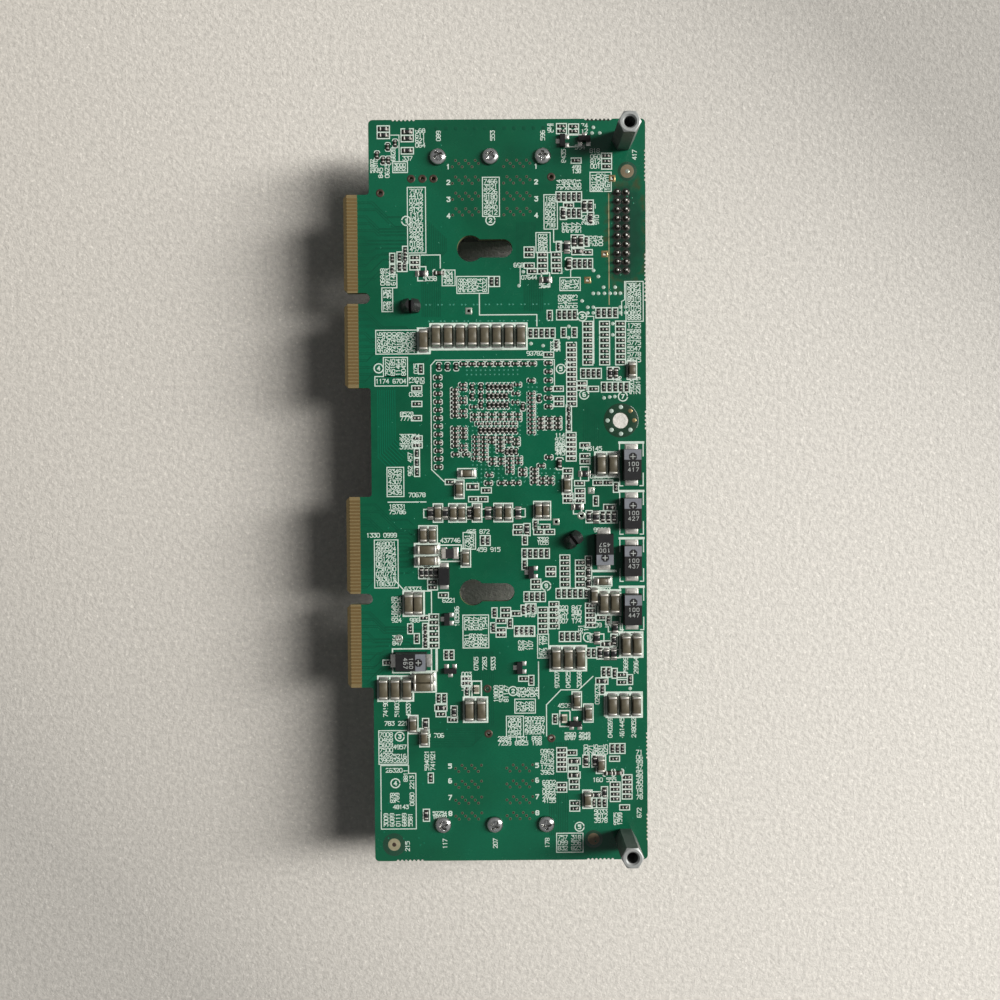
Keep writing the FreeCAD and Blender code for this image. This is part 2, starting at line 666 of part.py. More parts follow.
def build_standoff(level):
    """Build a hexagonal standoff with a tapped bore at each end."""
    sign = SIGN[level]
    post = new_body(f"standoff_{level}", f"{RIGHT_EDGE} - {{standoff_inset_x}}",
                    f"{END[level]} - {sign} * {{standoff_inset_y}}", TOP_FACE)
    outline = new_sketch(post, f"hexagon_{level}")
    corner = size("standoff_flats") / math.sqrt(3.0)
    tips = [Vector(corner * math.cos(math.radians(60 * k)),
                   corner * math.sin(math.radians(60 * k))) for k in range(6)]
    for number in range(6):
        outline.addGeometry(Part.LineSegment(tips[number], tips[(number + 1) % 6]))
    ring = outline.addGeometry(Part.Circle(Vector(0, 0), Vector(0, 0, 1), corner), True)
    for number in range(6):
        outline.addConstraint(
            Sketcher.Constraint("Coincident", number, 2, (number + 1) % 6, 1))
        outline.addConstraint(Sketcher.Constraint("PointOnObject", number, 1, ring))
        if number:
            outline.addConstraint(Sketcher.Constraint("Equal", 0, number))
    outline.addConstraint(Sketcher.Constraint("Coincident", ring, 3, -1, 1))
    outline.addConstraint(Sketcher.Constraint("PointOnObject", 0, 1, -1))
    drive(outline, "Radius", ring, by="{standoff_flats} / sqrt(3)")
    pad(post, outline, f"hexagon_bar_{level}", "{standoff_height}")

    bore = new_sketch(post, f"bore_{level}", offset="{standoff_height}")
    add_circle(bore, "0", "0", "{standoff_bore} / 2")
    pocket(post, bore, f"bore_cut_{level}", depth="{standoff_thread}")
    foot = new_sketch(post, f"foot_bore_{level}")
    add_circle(foot, "0", "0", "{standoff_bore} / 2")
    pocket(post, foot, f"foot_bore_cut_{level}", depth="{standoff_foot}", reverse=True)

    mouth = [f"Edge{number}" for number, edge in enumerate(post.Shape.Edges, start=1)
             if isinstance(edge.Curve, Part.Circle)
             and abs(edge.BoundBox.ZMax - top_side - size("standoff_height")) < 0.01
             and edge.BoundBox.ZLength < 0.01]
    dress(post, "Chamfer", f"bore_lead_{level}", mouth, Size="{standoff_lead}")
    turn_corners(post, level)
    return post


def turn_corners(post, level):
    """Turn the six corners off the top of a standoff with a coned groove."""
    before = post.Shape.Volume
    section = new_sketch(post, f"corner_profile_{level}", role="XZ_Plane")
    corners = [Vector(1, 1), Vector(2, 1), Vector(2, 0)]
    for number in range(3):
        section.addGeometry(Part.LineSegment(corners[number], corners[(number + 1) % 3]))
    for number in range(3):
        section.addConstraint(
            Sketcher.Constraint("Coincident", number, 2, (number + 1) % 3, 1))
    section.addConstraint(Sketcher.Constraint("Horizontal", 0))
    section.addConstraint(Sketcher.Constraint("Vertical", 1))
    run = "({standoff_flats} - {standoff_turned} / 2)"
    drive(section, "DistanceX", -1, 1, 0, 1, by="{standoff_turned} / 2")
    drive(section, "DistanceY", -1, 1, 0, 1, by="{standoff_height}")
    drive(section, "DistanceX", 0, 1, 0, 2, by=run)
    drive(section, "DistanceY", 2, 1, 1, 1, by=f"{run} * tan({{standoff_slope}})")
    groove = post.newObject("PartDesign::Groove", f"turned_corners_{level}")
    groove.Profile = section
    groove.ReferenceAxis = (section, ["V_Axis"])
    groove.Angle = 360.0
    post.Tip = groove
    doc.recompute()
    if not post.Shape.Volume < before:
        raise ValueError("the groove removes nothing")


def build_standoff_screws():
    """Place the screws that hold the standoffs from below."""
    reach = size("board_thickness") + size("standoff_foot") - size("bore_spare")
    screw = pan_screw(size("foot_screw_head"), size("foot_screw_rise"),
                      size("foot_screw_shank"), reach)
    screw.rotate(Vector(0, 0, 0), Vector(1, 0, 0), 180)
    screw = Part.makeCompound([screw]).Solids[0]
    x = right_edge - size("standoff_inset_x")
    y = half_length - size("standoff_inset_y")
    solids = []
    for place in ((x, y), (x, -y)):
        copy = screw.copy()
        copy.translate(Vector(place[0], place[1], under_side))
        solids.append(copy)
    return add_group("standoff_screws", solids)


# ----------------------------------------------------- processor and its cooler

def cooler_levels():
    """Return the heights of the cooler's layers, from the board down."""
    heights = ["solder_height", "substrate_height", "mould_height", "pad_height", "sink_base"]
    levels = [under_side]
    for name in heights:
        levels.append(levels[-1] - size(name))
    return levels


def stacked_block(label, side_x, side_y, height, above):
    """Build a slab of the cooler's stack, hung below the layers above it."""
    slab = new_body(label, "{package_x}", "{package_y}",
                    "{receptacle_height} - (" + " + ".join(above + [height]) + ")")
    sketch = new_sketch(slab, f"{label}_outline")
    add_rectangle(sketch, f"-{side_x} / 2", f"-{side_y} / 2", side_x, side_y)
    pad(slab, sketch, f"{label}_slab", height)
    return slab


def pin_places():
    """Return the places of the two push pins."""
    x, y = size("package_x"), size("package_y")
    half_x, half_y = size("pin_span_x") / 2, size("pin_span_y") / 2
    return [(x - half_x, y + half_y), (x + half_x, y - half_y)]


def build_heat_sink():
    """Build the finned heat sink with its two push-pin holes."""
    above = "{solder_height} + {substrate_height} + {mould_height} + {pad_height} + {sink_base}"
    sink = new_body("heat_sink", "{package_x}", "{package_y}",
                    f"{{receptacle_height}} - ({above})")
    base = new_sketch(sink, "sink_outline")
    add_rectangle(base, "-{sink_width} / 2", "-{sink_length} / 2", "{sink_width}",
                  "{sink_length}")
    pad(sink, base, "sink_plate", "{sink_base}")
    fins = new_sketch(sink, "fin_profile")
    pitch = "(({sink_width} - {fin_thickness}) / ({fin_count} - 1))"
    for number in range(count("fin_count")):
        add_rectangle(fins, f"-{{sink_width}} / 2 + {number} * {pitch}", "-{sink_length} / 2",
                      "{fin_thickness}", "{sink_length}")
    pad(sink, fins, "fins", "{fin_height}", reverse=True)

    clearance = new_sketch(sink, "fin_clearance")
    holes = new_sketch(sink, "sink_holes", offset="{sink_base}")
    for side in (-1, 1):
        x = f"{side} * {{pin_span_x}} / 2"
        y = f"-{side} * {{pin_span_y}} / 2"
        add_circle(clearance, x, y, "{pin_head} / 2 + {pin_room}")
        add_circle(holes, x, y, "{pin_hole} / 2")
    pocket(sink, clearance, "fin_clearance_cut", depth="{fin_height} + {pin_room}")
    pocket(sink, holes, "sink_hole_cut")
    return sink


def build_push_pins():
    """Build the two plastic push pins, heads below and barbs above the board."""
    base = cooler_levels()[-1]
    shaft, head, barb = size("pin_shaft") / 2, size("pin_head") / 2, size("pin_barb") / 2
    head_top = base - size("spring_length")
    head_low = head_top - size("pin_head_rise")
    tip, rise = size("pin_tip") / 2, size("pin_barb_rise")
    profile = [(0, head_low), (head, head_low), (head, head_top), (shaft, head_top),
               (shaft, top_side), (barb, top_side), (barb, top_side + size("pin_lip")),
               (tip, top_side + rise), (0, top_side + rise), (0, head_low)]
    turned_pin = Part.Face(Part.makePolygon([Vector(r, 0, z) for r, z in profile])).revolve(
        Vector(0, 0, 0), Vector(0, 0, 1), 360)
    trims = [box(2 * barb, barb, rise, 0, side * (size("pin_flat") + barb) / 2, top_side)
             for side in (-1, 1)]
    slit_foot = top_side - size("pin_slit_depth")
    trims.append(box(size("pin_slit"), 2 * barb, size("pin_slit_depth") + rise, 0, 0, slit_foot))
    pins = []
    for number, (x, y) in enumerate(pin_places()):
        pin = turned_pin
        for trim in trims:
            pin = pin.cut(trim)
        pin.rotate(Vector(0, 0, 0), Vector(0, 0, 1), number * size("pin_turn"))
        pins.append(add_group(f"push_pin_{('upper', 'lower')[number]}", pin.Solids, x, y))
    return pins


def coil_section(turn, radius, wire, rise, sides):
    """Return the wire's polygonal section at a number of turns along the coil."""
    angle = 2 * math.pi * turn
    outward = Vector(math.cos(angle), math.sin(angle), 0)
    centre = outward * radius + Vector(0, 0, rise * turn)
    corners = []
    for side in range(sides):
        around = 2 * math.pi * side / sides
        corners.append(centre + outward * (wire / 2 * math.cos(around))
                       + Vector(0, 0, wire / 2 * math.sin(around)))
    return Part.makePolygon(corners + corners[:1])


def build_springs():
    """Wind a compression spring round each push pin."""
    base = cooler_levels()[-1]
    wire = size("spring_wire")
    free = size("spring_length") - wire
    radius = size("pin_shaft") / 2 + wire
    turns, steps = size("spring_turns"), count("spring_steps")
    sections = [coil_section(step / steps, radius, wire, free / turns, count("spring_sides"))
                for step in range(int(turns * steps) + 1)]
    coil = Part.makeLoft(sections, True, True)
    z = base - size("spring_length") + wire / 2
    return add_group("push_pin_springs", [solid for x, y in pin_places()
                                          for solid in copies(coil, [(x, y, z)])])


# ---------------------------------------------------------------- pin header

def build_header():
    """Build the header's insulator with its pin holes."""
    header = new_body("header_insulator", f"{RIGHT_EDGE} - {{header_inset}}",
                      f"{END['upper']} - {{header_drop}}",
                      "{receptacle_height} - {header_body}")
    sketch = new_sketch(header, "insulator_outline")
    add_rectangle(sketch, "-{header_pitch}", "-{header_rows} * {header_pitch} / 2",
                  "2 * {header_pitch}", "{header_rows} * {header_pitch}")
    for row in range(count("header_rows")):
        for column in (-0.5, 0.5):
            step = f"({row} - ({{header_rows}} - 1) / 2) * {{header_pitch}}"
            add_rectangle(sketch, f"{column} * {{header_pitch}} - {{header_pin}} / 2",
                          f"-{step} - {{header_pin}} / 2", "{header_pin}", "{header_pin}")
    pad(header, sketch, "insulator_block", "{header_body}")
    return header


def build_header_pins():
    """Stand the header's square pins through the board."""
    side = size("header_pin")
    bottom = under_side - size("header_below")
    height = top_side + size("header_above") - bottom
    solids = [box(side, side, height, x, y, bottom) for x, y in header_places()]
    return add_group("header_pins", solids)


# --------------------------------------------------------- small components

# One run of like chips in the layout: the first one's place, how many, and the
# step between them. An upright chip lies along Y, the others along X.
Run = namedtuple("Run", "x y number dx dy upright", defaults=(1, 0.0, 0.0, False))

# Length, width and height of a chip, and of one of its end terminals.
Chip = namedtuple("Chip", "length width height terminal")

CHIPS = {
    "0402_resistor": Chip(1.0, 0.5, 0.35, 0.2),
    "0402_capacitor": Chip(1.0, 0.5, 0.5, 0.22),
    "0603_resistor": Chip(1.6, 0.8, 0.45, 0.3),
    "0603_capacitor": Chip(1.6, 0.8, 0.8, 0.35),
    "0805_resistor": Chip(2.0, 1.25, 0.55, 0.4),
    "1206_capacitor": Chip(3.0, 1.5, 1.3, 0.5),
    "1808_capacitor": Chip(4.4, 1.9, 1.8, 0.55),
}


def run_places(run):
    """Return the places of a run's chips on the board."""
    return [spread(run.x + run.dx * k, run.y + run.dy * k) for k in range(run.number)]


def upright(x, y, number=1, dx=0.0, dy=0.0):
    """Return a run of chips that lie along Y."""
    return Run(x, y, number, dx, dy, True)


SMALL_RESISTORS = [
    # upper end
    Run(15.66, 84.6, 2, 0, -1.1), Run(18.46, 84.5, 2, 0, -1.1),
    Run(19.0, 76.7), Run(26.05, 77.75, 3, 0, -1.22), upright(14.9, 68.4, 5, 1.18),
    Run(17.2, 66.4), upright(17.2, 64.6, 3, 1.2), Run(8.0, 56.3, 2, 0, -1.2),
    Run(8.0, 52.6), Run(11.1, 55.1, 3, 0, -1.28), Run(14.3, 55.1, 3, 0, -1.28),
    upright(14.9, 57.0), upright(18.5, 53.0, 4, 1.2), upright(21.3, 58.1), Run(21.5, 55.6),
    Run(8.7, 51.3), Run(11.1, 51.3), Run(14.4, 51.4), upright(-0.75, 49.0, 2, 1.25),
    upright(-23.7, 54.5, 2, 0, -2.6), upright(-22.0, 54.8), upright(-22.0, 52.6, 2, 1.1),
    upright(-20.7, 56.1, 2, 0, -1.6), Run(-18.5, 54.6, 3, 0, -1.1),
    # right-hand columns
    upright(12.7, 41.1), upright(14.9, 41.2, 4, 1.2), upright(24.0, 41.6, 4, 1.3),
    Run(21.5, 39.05, 8, 0, -1.27), Run(25.4, 39.05, 8, 0, -1.27), Run(29.1, 39.05, 8, 0, -1.27),
    Run(17.7, 34.2, 13, 0, -1.135), upright(8.2, 37.0, 5, 1.28), upright(15.9, 37.1),
    upright(18.4, 37.1), upright(14.2, 34.3), Run(14.6, 24.1), Run(14.7, 21.75, 2, 0, -1.15),
    upright(20.4, 27.6, 4, 1.2), Run(20.1, 25.3, 2, 0, -1.0), Run(22.8, 24.0),
    upright(25.2, 24.4, 5, 1.32), upright(17.0, 19.2, 3, 0, -1.9), Run(12.4, 32.0),
    Run(17.5, 13.3, 6, 0, -1.08), Run(20.7, 10.9), Run(20.7, 8.4, 2, 0, -1.2),
    Run(16.7, 5.0, 2, 0, -1.2), Run(19.4, 2.1), Run(19.5, 0.3, 3, 0, -1.12),
    Run(16.7, -0.8, 2, 0, -1.1), Run(23.7, 2.2), Run(26.0, 2.2), upright(27.9, 1.1),
    upright(23.2, -2.05),
    # below the processor
    upright(9.1, -7.4), Run(5.1, -8.0), Run(11.3, -8.0), Run(5.0, -9.25), Run(9.8, -9.2),
    Run(12.4, -9.2), upright(6.6, -11.0), upright(6.5, -14.2, 5, 1.3), upright(6.5, -16.8),
    Run(15.9, -15.2, 6, 0, -1.27), Run(19.5, -16.4, 5, 0, -1.3), Run(12.6, -17.9, 2, 0, -1.1),
    Run(9.1, -20.8, 2, 0, -1.2), upright(6.9, -24.3, 4, 1.27), upright(14.4, -23.6, 6, 1.29),
    Run(21.8, -26.5, 5, 0, -1.13), Run(24.3, -29.3), upright(26.0, -29.9),
    Run(13.3, -26.1, 5, 0, -1.28), Run(10.7, -27.4, 5, 0, -1.28), Run(2.0, -27.4, 2, 0, -1.25),
    Run(4.5, -28.2), upright(6.2, -27.4), upright(7.3, -27.1, 2, 1.2), Run(0.9, -29.9),
    Run(0.9, -32.1, 2, 0, -1.0), upright(4.6, -32.3, 4, 1.15), upright(15.1, -33.7, 4, 1.27),
    upright(21.3, -37.6, 2, 1.25), upright(24.9, -42.1, 2, 1.1), upright(27.4, -42.4),
    Run(29.1, -42.8), Run(29.1, -44.5), upright(31.0, -43.9), upright(24.5, -46.2),
    Run(6.1, -43.5), upright(7.9, -43.9), upright(13.4, -53.05), upright(3.0, -30.5),
    # left-hand side
    Run(-18.3, 12.8, 2, 0, -1.6), upright(-18.4, 9.3, 3, 0, -2.1), Run(-2.3, 0.6),
    Run(-5.3, -1.45, 2, 2.2), upright(-3.2, -11.1, 2, 1.1), Run(-10.7, 2.6),
    Run(-15.0, -20.7, 2, 0, -1.25), Run(-12.5, -23.8), Run(-14.8, -28.8, 6, 0, -1.36),
    Run(-16.9, -29.1), upright(-16.8, -31.5, 3, 0, -1.8), upright(-20.3, -31.6),
    upright(-18.8, -33.9), Run(-25.6, -39.5), upright(-11.9, -37.8, 2, 1.15),
    upright(-13.8, -48.0, 2, 1.3), Run(-13.3, -51.7), Run(-10.6, -53.0),
    Run(-7.3, -43.4, 2, 0, -1.05), upright(-7.2, -46.4), upright(-0.6, -28.0),
    upright(-0.9, -31.5), upright(-17.3, 28.9), Run(-18.3, 24.4), Run(-18.3, 20.8),
    Run(-18.4, 17.5),
    # lower end
    upright(-15.8, -66.7), Run(14.9, -60.4, 5, 0, -1.12), Run(14.9, -68.6, 2, 0, -1.1),
    Run(17.3, -61.0), Run(17.6, -64.7), Run(17.8, -67.8, 2, 0, -1.3), Run(27.3, -62.5),
    upright(26.8, -60.1, 3, 1.17), Run(30.2, -66.9, 5, 0, -1.13), Run(27.4, -68.6, 4, 0, -1.13),
    upright(22.4, -72.9, 3, 1.25), Run(17.9, -72.9, 2, 0, -1.3), Run(29.6, -74.0),
]

SMALL_CAPACITORS = [
    # upper left corner
    upright(-24.5, 80.1), upright(-22.8, 80.9),
    upright(-27.0, 78.2), upright(-25.6, 77.0, 2, 1.2),
    # round the processor's outline
    Run(-13.4, 26.9, 12, 0, -1.89), upright(-13.1, 29.4, 3, 2.0), Run(-7.4, 29.95, 9, 2.0),
    Run(12.3, 30.1, 6, 0, -2.02), Run(12.3, 8.2), Run(8.3, 26.0),
    # under the processor, left and right
    Run(-9.5, 24.0, 7, 0, -1.0), Run(-7.6, 25.1, 2, 0, -0.9), Run(-7.6, 22.0, 2, 0, -0.9),
    Run(-7.6, 19.0, 2, 0, -0.95), Run(-9.5, 15.0, 5, 0, -1.0), Run(-7.6, 15.0, 3, 0, -1.0),
    Run(-7.6, 11.0, 2, 0, -0.95), Run(-9.4, 9.0), Run(-7.0, 9.0), Run(8.3, 23.0, 10, 0, -1.0),
    Run(10.4, 17.1, 3, 0, -1.0), Run(12.4, 17.1, 3, 0, -1.0), Run(14.4, 17.1, 3, 0, -1.0),
    upright(10.1, 21.9), upright(6.3, 20.0),
    # under the processor, middle
    upright(-5.4, 24.6), upright(-3.4, 24.6), upright(-1.6, 24.6, 6, 1.02), Run(5.1, 25.1),
    upright(-5.4, 22.5), upright(-3.4, 22.5), upright(-1.6, 22.5, 5, 1.02), Run(4.7, 23.1),
    upright(-3.4, 20.4), upright(-1.5, 20.4, 5, 1.02), Run(4.6, 21.0), Run(-5.1, 20.0),
    Run(-4.9, 18.2, 6, 2.0), Run(-4.9, 17.1, 6, 2.0), Run(-3.9, 16.1, 5, 2.0),
    upright(-3.5, 14.6, 9, 1.0), Run(-4.6, 13.0, 5, 0, -1.0), Run(-2.8, 12.9, 5, 0, -1.0),
    Run(-1.0, 12.8, 2, 0, -1.0), Run(1.0, 12.8, 4, 0, -1.0), Run(2.9, 12.8, 2, 0, -1.0),
    Run(4.7, 12.4, 2, 0, -1.0), upright(2.6, 9.6, 3, 1.0), Run(-4.7, 8.0), Run(-2.8, 7.8),
    Run(-0.8, 7.8, 2, 0, -1.0), Run(1.2, 7.8, 2, 0, -1.0), Run(3.2, 7.9, 4, 0, -1.0),
    Run(5.2, 8.0, 2, 0, -1.0), Run(6.2, 5.3, 2, 0, -1.0), Run(8.9, 5.4, 4, 0, -1.0),
    Run(10.5, 6.2), Run(10.8, 3.3, 2, 1.8), Run(10.8, 2.3, 2, 1.8), Run(-1.6, 4.2),
    Run(-1.8, 2.3), Run(1.2, 2.3, 3, 1.8),
]

MIDDLE_RESISTORS = [
    Run(-25.5, 84.2, 2, 0, -1.45), Run(-20.0, 83.5, 2, 0, -1.5),
    Run(-20.0, 79.2), upright(20.9, 66.2, 2, 1.3), upright(22.3, 63.4), upright(18.5, 58.2),
    Run(19.3, 55.8), upright(16.0, 64.6), upright(7.1, -8.6), upright(21.4, -16.3, 3, 0, -2.5),
    upright(-17.5, -18.5, 4, 1.1), upright(24.0, -37.6), Run(25.6, -35.5), upright(27.3, -34.6),
    Run(24.4, -44.2), Run(-13.3, -50.2), upright(-10.2, -51.2), Run(17.8, -63.0),
    upright(20.6, -63.0), upright(22.7, -63.0), Run(17.8, -66.3), Run(22.9, -71.0),
    upright(24.9, -70.5), upright(-16.9, -75.5), upright(21.6, -5.7), upright(24.8, -5.8, 3, 1.3),
    Run(26.4, -3.6), Run(-5.5, 1.5), upright(-16.9, -54.1), upright(-6.3, -4.7),
    upright(26.7, 27.6),
]

MIDDLE_CAPACITORS = [
    upright(20.0, 58.2), upright(28.0, 27.6), upright(17.2, 53.0), upright(14.8, 6.7),
    Run(26.0, -65.8, 2, 2.0), Run(-12.9, 51.0),
]

LARGE_RESISTORS = [
    upright(16.8, 56.8), upright(-15.3, -4.7), upright(-11.9, -4.7), upright(5.1, -4.7),
    upright(-1.9, -4.7), Run(20.6, 4.3), upright(23.2, -5.8), upright(23.3, -34.1),
    upright(25.5, -37.8), upright(27.2, -37.8), upright(27.6, -31.7), Run(11.8, 49.3),
    Run(-16.9, 50.9), Run(18.9, -3.4),
]

LARGE_CAPACITORS = [
    upright(-13.6, -4.6), upright(-10.0, -4.6), upright(-8.1, -4.6), upright(-4.5, -4.6),
    upright(0.5, -4.6), upright(2.7, -4.6), upright(9.8, -4.2, 2, 1.75),
    upright(-17.0, -9.7, 2, 2.1), upright(16.5, 1.7), upright(-8.6, 0.9), Run(-6.8, 4.6),
    upright(31.7, 28.3), upright(22.7, -24.2), upright(18.5, -48.8), upright(21.2, -51.7),
    upright(-19.8, -54.1), upright(-17.2, -57.2), upright(24.1, -63.8), upright(20.9, -72.0),
    Run(24.7, -20.8), upright(-7.2, -15.1),
]

BULK_CAPACITORS = [
    upright(-16.6, 35.4), upright(-13.7, 36.4, 8, 2.81), upright(24.4, 6.4, 2, 2.75),
    Run(-16.2, -13.1, 2, 0, -2.6), upright(-20.5, -25.7, 2, 2.1),
    upright(24.9, -25.8, 2, 2.55), upright(-26.6, -45.6, 3, 2.75), Run(-17.3, -43.0, 2, 0, -2.05),
    upright(13.7, -38.8, 3, 2.85), upright(30.0, -35.7, 2, 2.6), upright(26.8, -49.8, 3, 2.8),
    upright(-6.6, -50.7, 2, 2.8),
]


def whole_chips(label, kind, runs):
    """Place small chips, each one plain block."""
    chip = CHIPS[kind]
    solids = []
    for run in runs:
        along, across = (chip.width, chip.length) if run.upright else (chip.length, chip.width)
        solids += [box(along, across, chip.height, x, y) for x, y in run_places(run)]
    return add_group(label, solids, z=top_side)


def jointed_chips(label, kind, runs):
    """Place larger chips as a body between two end terminals."""
    chip = CHIPS[kind]
    bodies, terminals = [], []
    middle = chip.length - 2 * chip.terminal
    offset = (chip.length - chip.terminal) / 2
    for run in runs:
        for x, y in run_places(run):
            if run.upright:
                bodies.append(box(chip.width, middle, chip.height, x, y))
                terminals += [box(chip.width, chip.terminal, chip.height, x, y + side * offset)
                              for side in (-1, 1)]
            else:
                bodies.append(box(middle, chip.width, chip.height, x, y))
                terminals += [box(chip.terminal, chip.width, chip.height, x + side * offset, y)
                              for side in (-1, 1)]
    return [add_group(label, bodies, z=top_side),
            add_group(f"{label}_terminals", terminals, z=top_side)]


# Place in the layout and turn; a turn of 0 puts a part's marked end towards +X.
Spot = namedtuple("Spot", "x y turn")

POLYMER_CAPACITORS = [
    Spot(31.5, 6.35, 90), Spot(31.5, -4.95, 90), Spot(31.5, -15.95, 90),
    Spot(31.5, -27.3, 90), Spot(25.0, -13.3, 270), Spot(-20.1, -39.1, 0),
]
TRANSISTORS = [
    Spot(18.2, -54.1, 0), Spot(-11.0, -41.5, 180), Spot(-11.7, -29.4, 90),
    Spot(5.2, -40.9, 90), Spot(15.85, 81.2, 90), Spot(20.9, 81.6, 0),
    Spot(8.0, -18.6, 90),
]
LAMPS = [Spot(-4.9, -45.9, 90), Spot(15.6, -52.9, 90)]
DIODES = [Spot(-12.3, -19.3, 90)]
FUSES = [Spot(-10.9, -14.0, 0)]

# A moulded body: its size, the draft of its sides, and the seat below it.
Moulding = namedtuple("Moulding", "length width height draft seat")

POLYMER_BODY = Moulding(7.3, 4.3, 2.68, 0.18, 0.12)
TRANSISTOR_BODY = Moulding(2.9, 1.3, 0.95, 0.08, 0.12)
DIODE_BODY = Moulding(4.2, 2.6, 2.0, 0.15, 0.12)
LAMP_LENS = Moulding(1.2, 1.1, 0.5, 0.12, 0.35)

# A block of a part, and the place of its middle from the part's own middle.
Block = namedtuple("Block", "length width height x y", defaults=(0.0, 0.0))

POLYMER_LEADS = [Block(2.2, 2.4, 0.12, side * 3.45) for side in (-1, 1)]
TRANSISTOR_LEADS = [Block(0.45, 0.65, 0.12, 0.0, 0.9), Block(0.45, 0.65, 0.12, -0.95, -0.9),
                    Block(0.45, 0.65, 0.12, 0.95, -0.9)]
LAMP_BASE = [Block(2.0, 1.25, 0.35)]
DIODE_LEADS = [Block(1.6, 1.5, 0.12, side * 2.0) for side in (-1, 1)]
FUSE_BODY = [Block(1.9, 2.2, 1.1)]
FUSE_ENDS = [Block(0.75, 2.2, 1.1, side * 1.325) for side in (-1, 1)]


def moulded(kind):
    """Return a moulded body that narrows towards its top."""
    base = Vector(-kind.length / 2, -kind.width / 2, kind.seat)
    inset = Vector(kind.draft, kind.draft, kind.height)
    foot = Part.makePlane(kind.length, kind.width, base)
    top = Part.makePlane(kind.length - 2 * kind.draft, kind.width - 2 * kind.draft, base + inset)
    return Part.makeLoft([foot.OuterWire, top.OuterWire], True)


def add_parts(label, shapes, spots):
    """Add one node with every shape at every spot, on the board."""
    solids = []
    for spot in spots:
        x, y = spread(spot.x, spot.y)
        turn = FreeCAD.Rotation(Vector(0, 0, 1), spot.turn)
        for shape in shapes:
            copy = shape.copy()
            copy.Placement = FreeCAD.Placement(Vector(x, y, 0), turn)
            solids.append(copy)
    return add_group(label, solids, z=top_side)


def blocks(rows):
    """Return the solids of a list of blocks."""
    return [box(row.length, row.width, row.height, row.x, row.y) for row in rows]


def build_placed_parts():
    """Place the moulded parts, their leads, the lamps and the fuse."""
    return [
        add_parts("polymer_capacitors", [moulded(POLYMER_BODY)], POLYMER_CAPACITORS),
        add_parts("polymer_capacitor_leads", blocks(POLYMER_LEADS), POLYMER_CAPACITORS),
        add_parts("transistors", [moulded(TRANSISTOR_BODY)], TRANSISTORS),
        add_parts("transistor_leads", blocks(TRANSISTOR_LEADS), TRANSISTORS),
        add_parts("indicator_bases", blocks(LAMP_BASE), LAMPS),
        add_parts("indicator_lenses", [moulded(LAMP_LENS)], LAMPS),
        add_parts("power_diode", [moulded(DIODE_BODY)], DIODES),
        add_parts("power_diode_leads", blocks(DIODE_LEADS), DIODES),
        add_parts("fuse", blocks(FUSE_BODY), FUSES),
        add_parts("fuse_terminals", blocks(FUSE_ENDS), FUSES),
    ]


# ------------------------------------------------- component side, below

# Parts of the component side, with their places in the layout.
INDUCTORS = [Block(8.0, 8.0, 4.0, 28.4, y) for y in (-4.0, -16.0, -28.0)]
REGULATORS = [Block(5.0, 6.0, 1.0, 18.5, y) for y in (-22.0, -30.0, -38.0)]
INPUT_CAPACITORS = [Block(3.2, 2.5, 2.0, 24.5 - 3.2 * k, -48.0) for k in range(5)]
MEMORY = Block(5.3, 5.2, 1.7, -16.0, -34.0)
MEMORY_LEADS = [Block(0.4, 1.0, 0.2, (k - 1.5) * 1.27, side * 3.1)
                for k in range(4) for side in (-1, 1)]
CRYSTAL = Block(5.0, 3.2, 1.1, -6.0, -34.0)


def hang(label, rows, middle=None):
    """Add blocks that hang from the underside, each or all about one place."""
    solids = []
    for row in rows:
        x, y = spread(middle.x, middle.y) if middle else spread(row.x, row.y)
        if middle:
            x, y = x + row.x, y + row.y
        solids.append(box(row.length, row.width, row.height, x, y, under_side - row.height))
    return add_group(label, solids)


def build_underside():
    """Place the parts of the component side that such boards carry."""
    return [hang("power_inductors", INDUCTORS), hang("regulator_chips", REGULATORS),
            hang("underside_capacitors", INPUT_CAPACITORS), hang("memory_chip", [MEMORY]),
            hang("memory_chip_leads", MEMORY_LEADS, MEMORY), hang("crystal", [CRYSTAL])]


# -------------------------------------------------------------- the document

pieces = [build_circuit_board()]
for end in ("upper", "lower"):
    pieces.append(build_contacts(end))
    pieces.append(build_receptacle(end))
    pieces.append(build_insert(end, "left", -1))
    pieces.append(build_insert(end, "right", 1))
    pieces.append(build_port_contacts(end))
    pieces.append(build_connector_screws(end))
    pieces.append(build_standoff(end))
pieces.append(build_standoff_screws())

pieces.append(stacked_block("processor_solder", "({mould_side} - 1)", "({mould_side} - 1)",
                            "{solder_height}", []))
pieces.append(stacked_block("processor_substrate", "{package_side}", "{package_side}",
                            "{substrate_height}", ["{solder_height}"]))
pieces.append(stacked_block("processor_cap", "{mould_side}", "{mould_side}", "{mould_height}",
                            ["{solder_height}", "{substrate_height}"]))
pieces.append(stacked_block("thermal_pad", "({mould_side} - 2)", "({mould_side} - 2)",
                            "{pad_height}",
                            ["{solder_height}", "{substrate_height}", "{mould_height}"]))
pieces.append(build_heat_sink())
pieces += build_push_pins()
pieces.append(build_springs())
pieces.append(build_header())
pieces.append(build_header_pins())

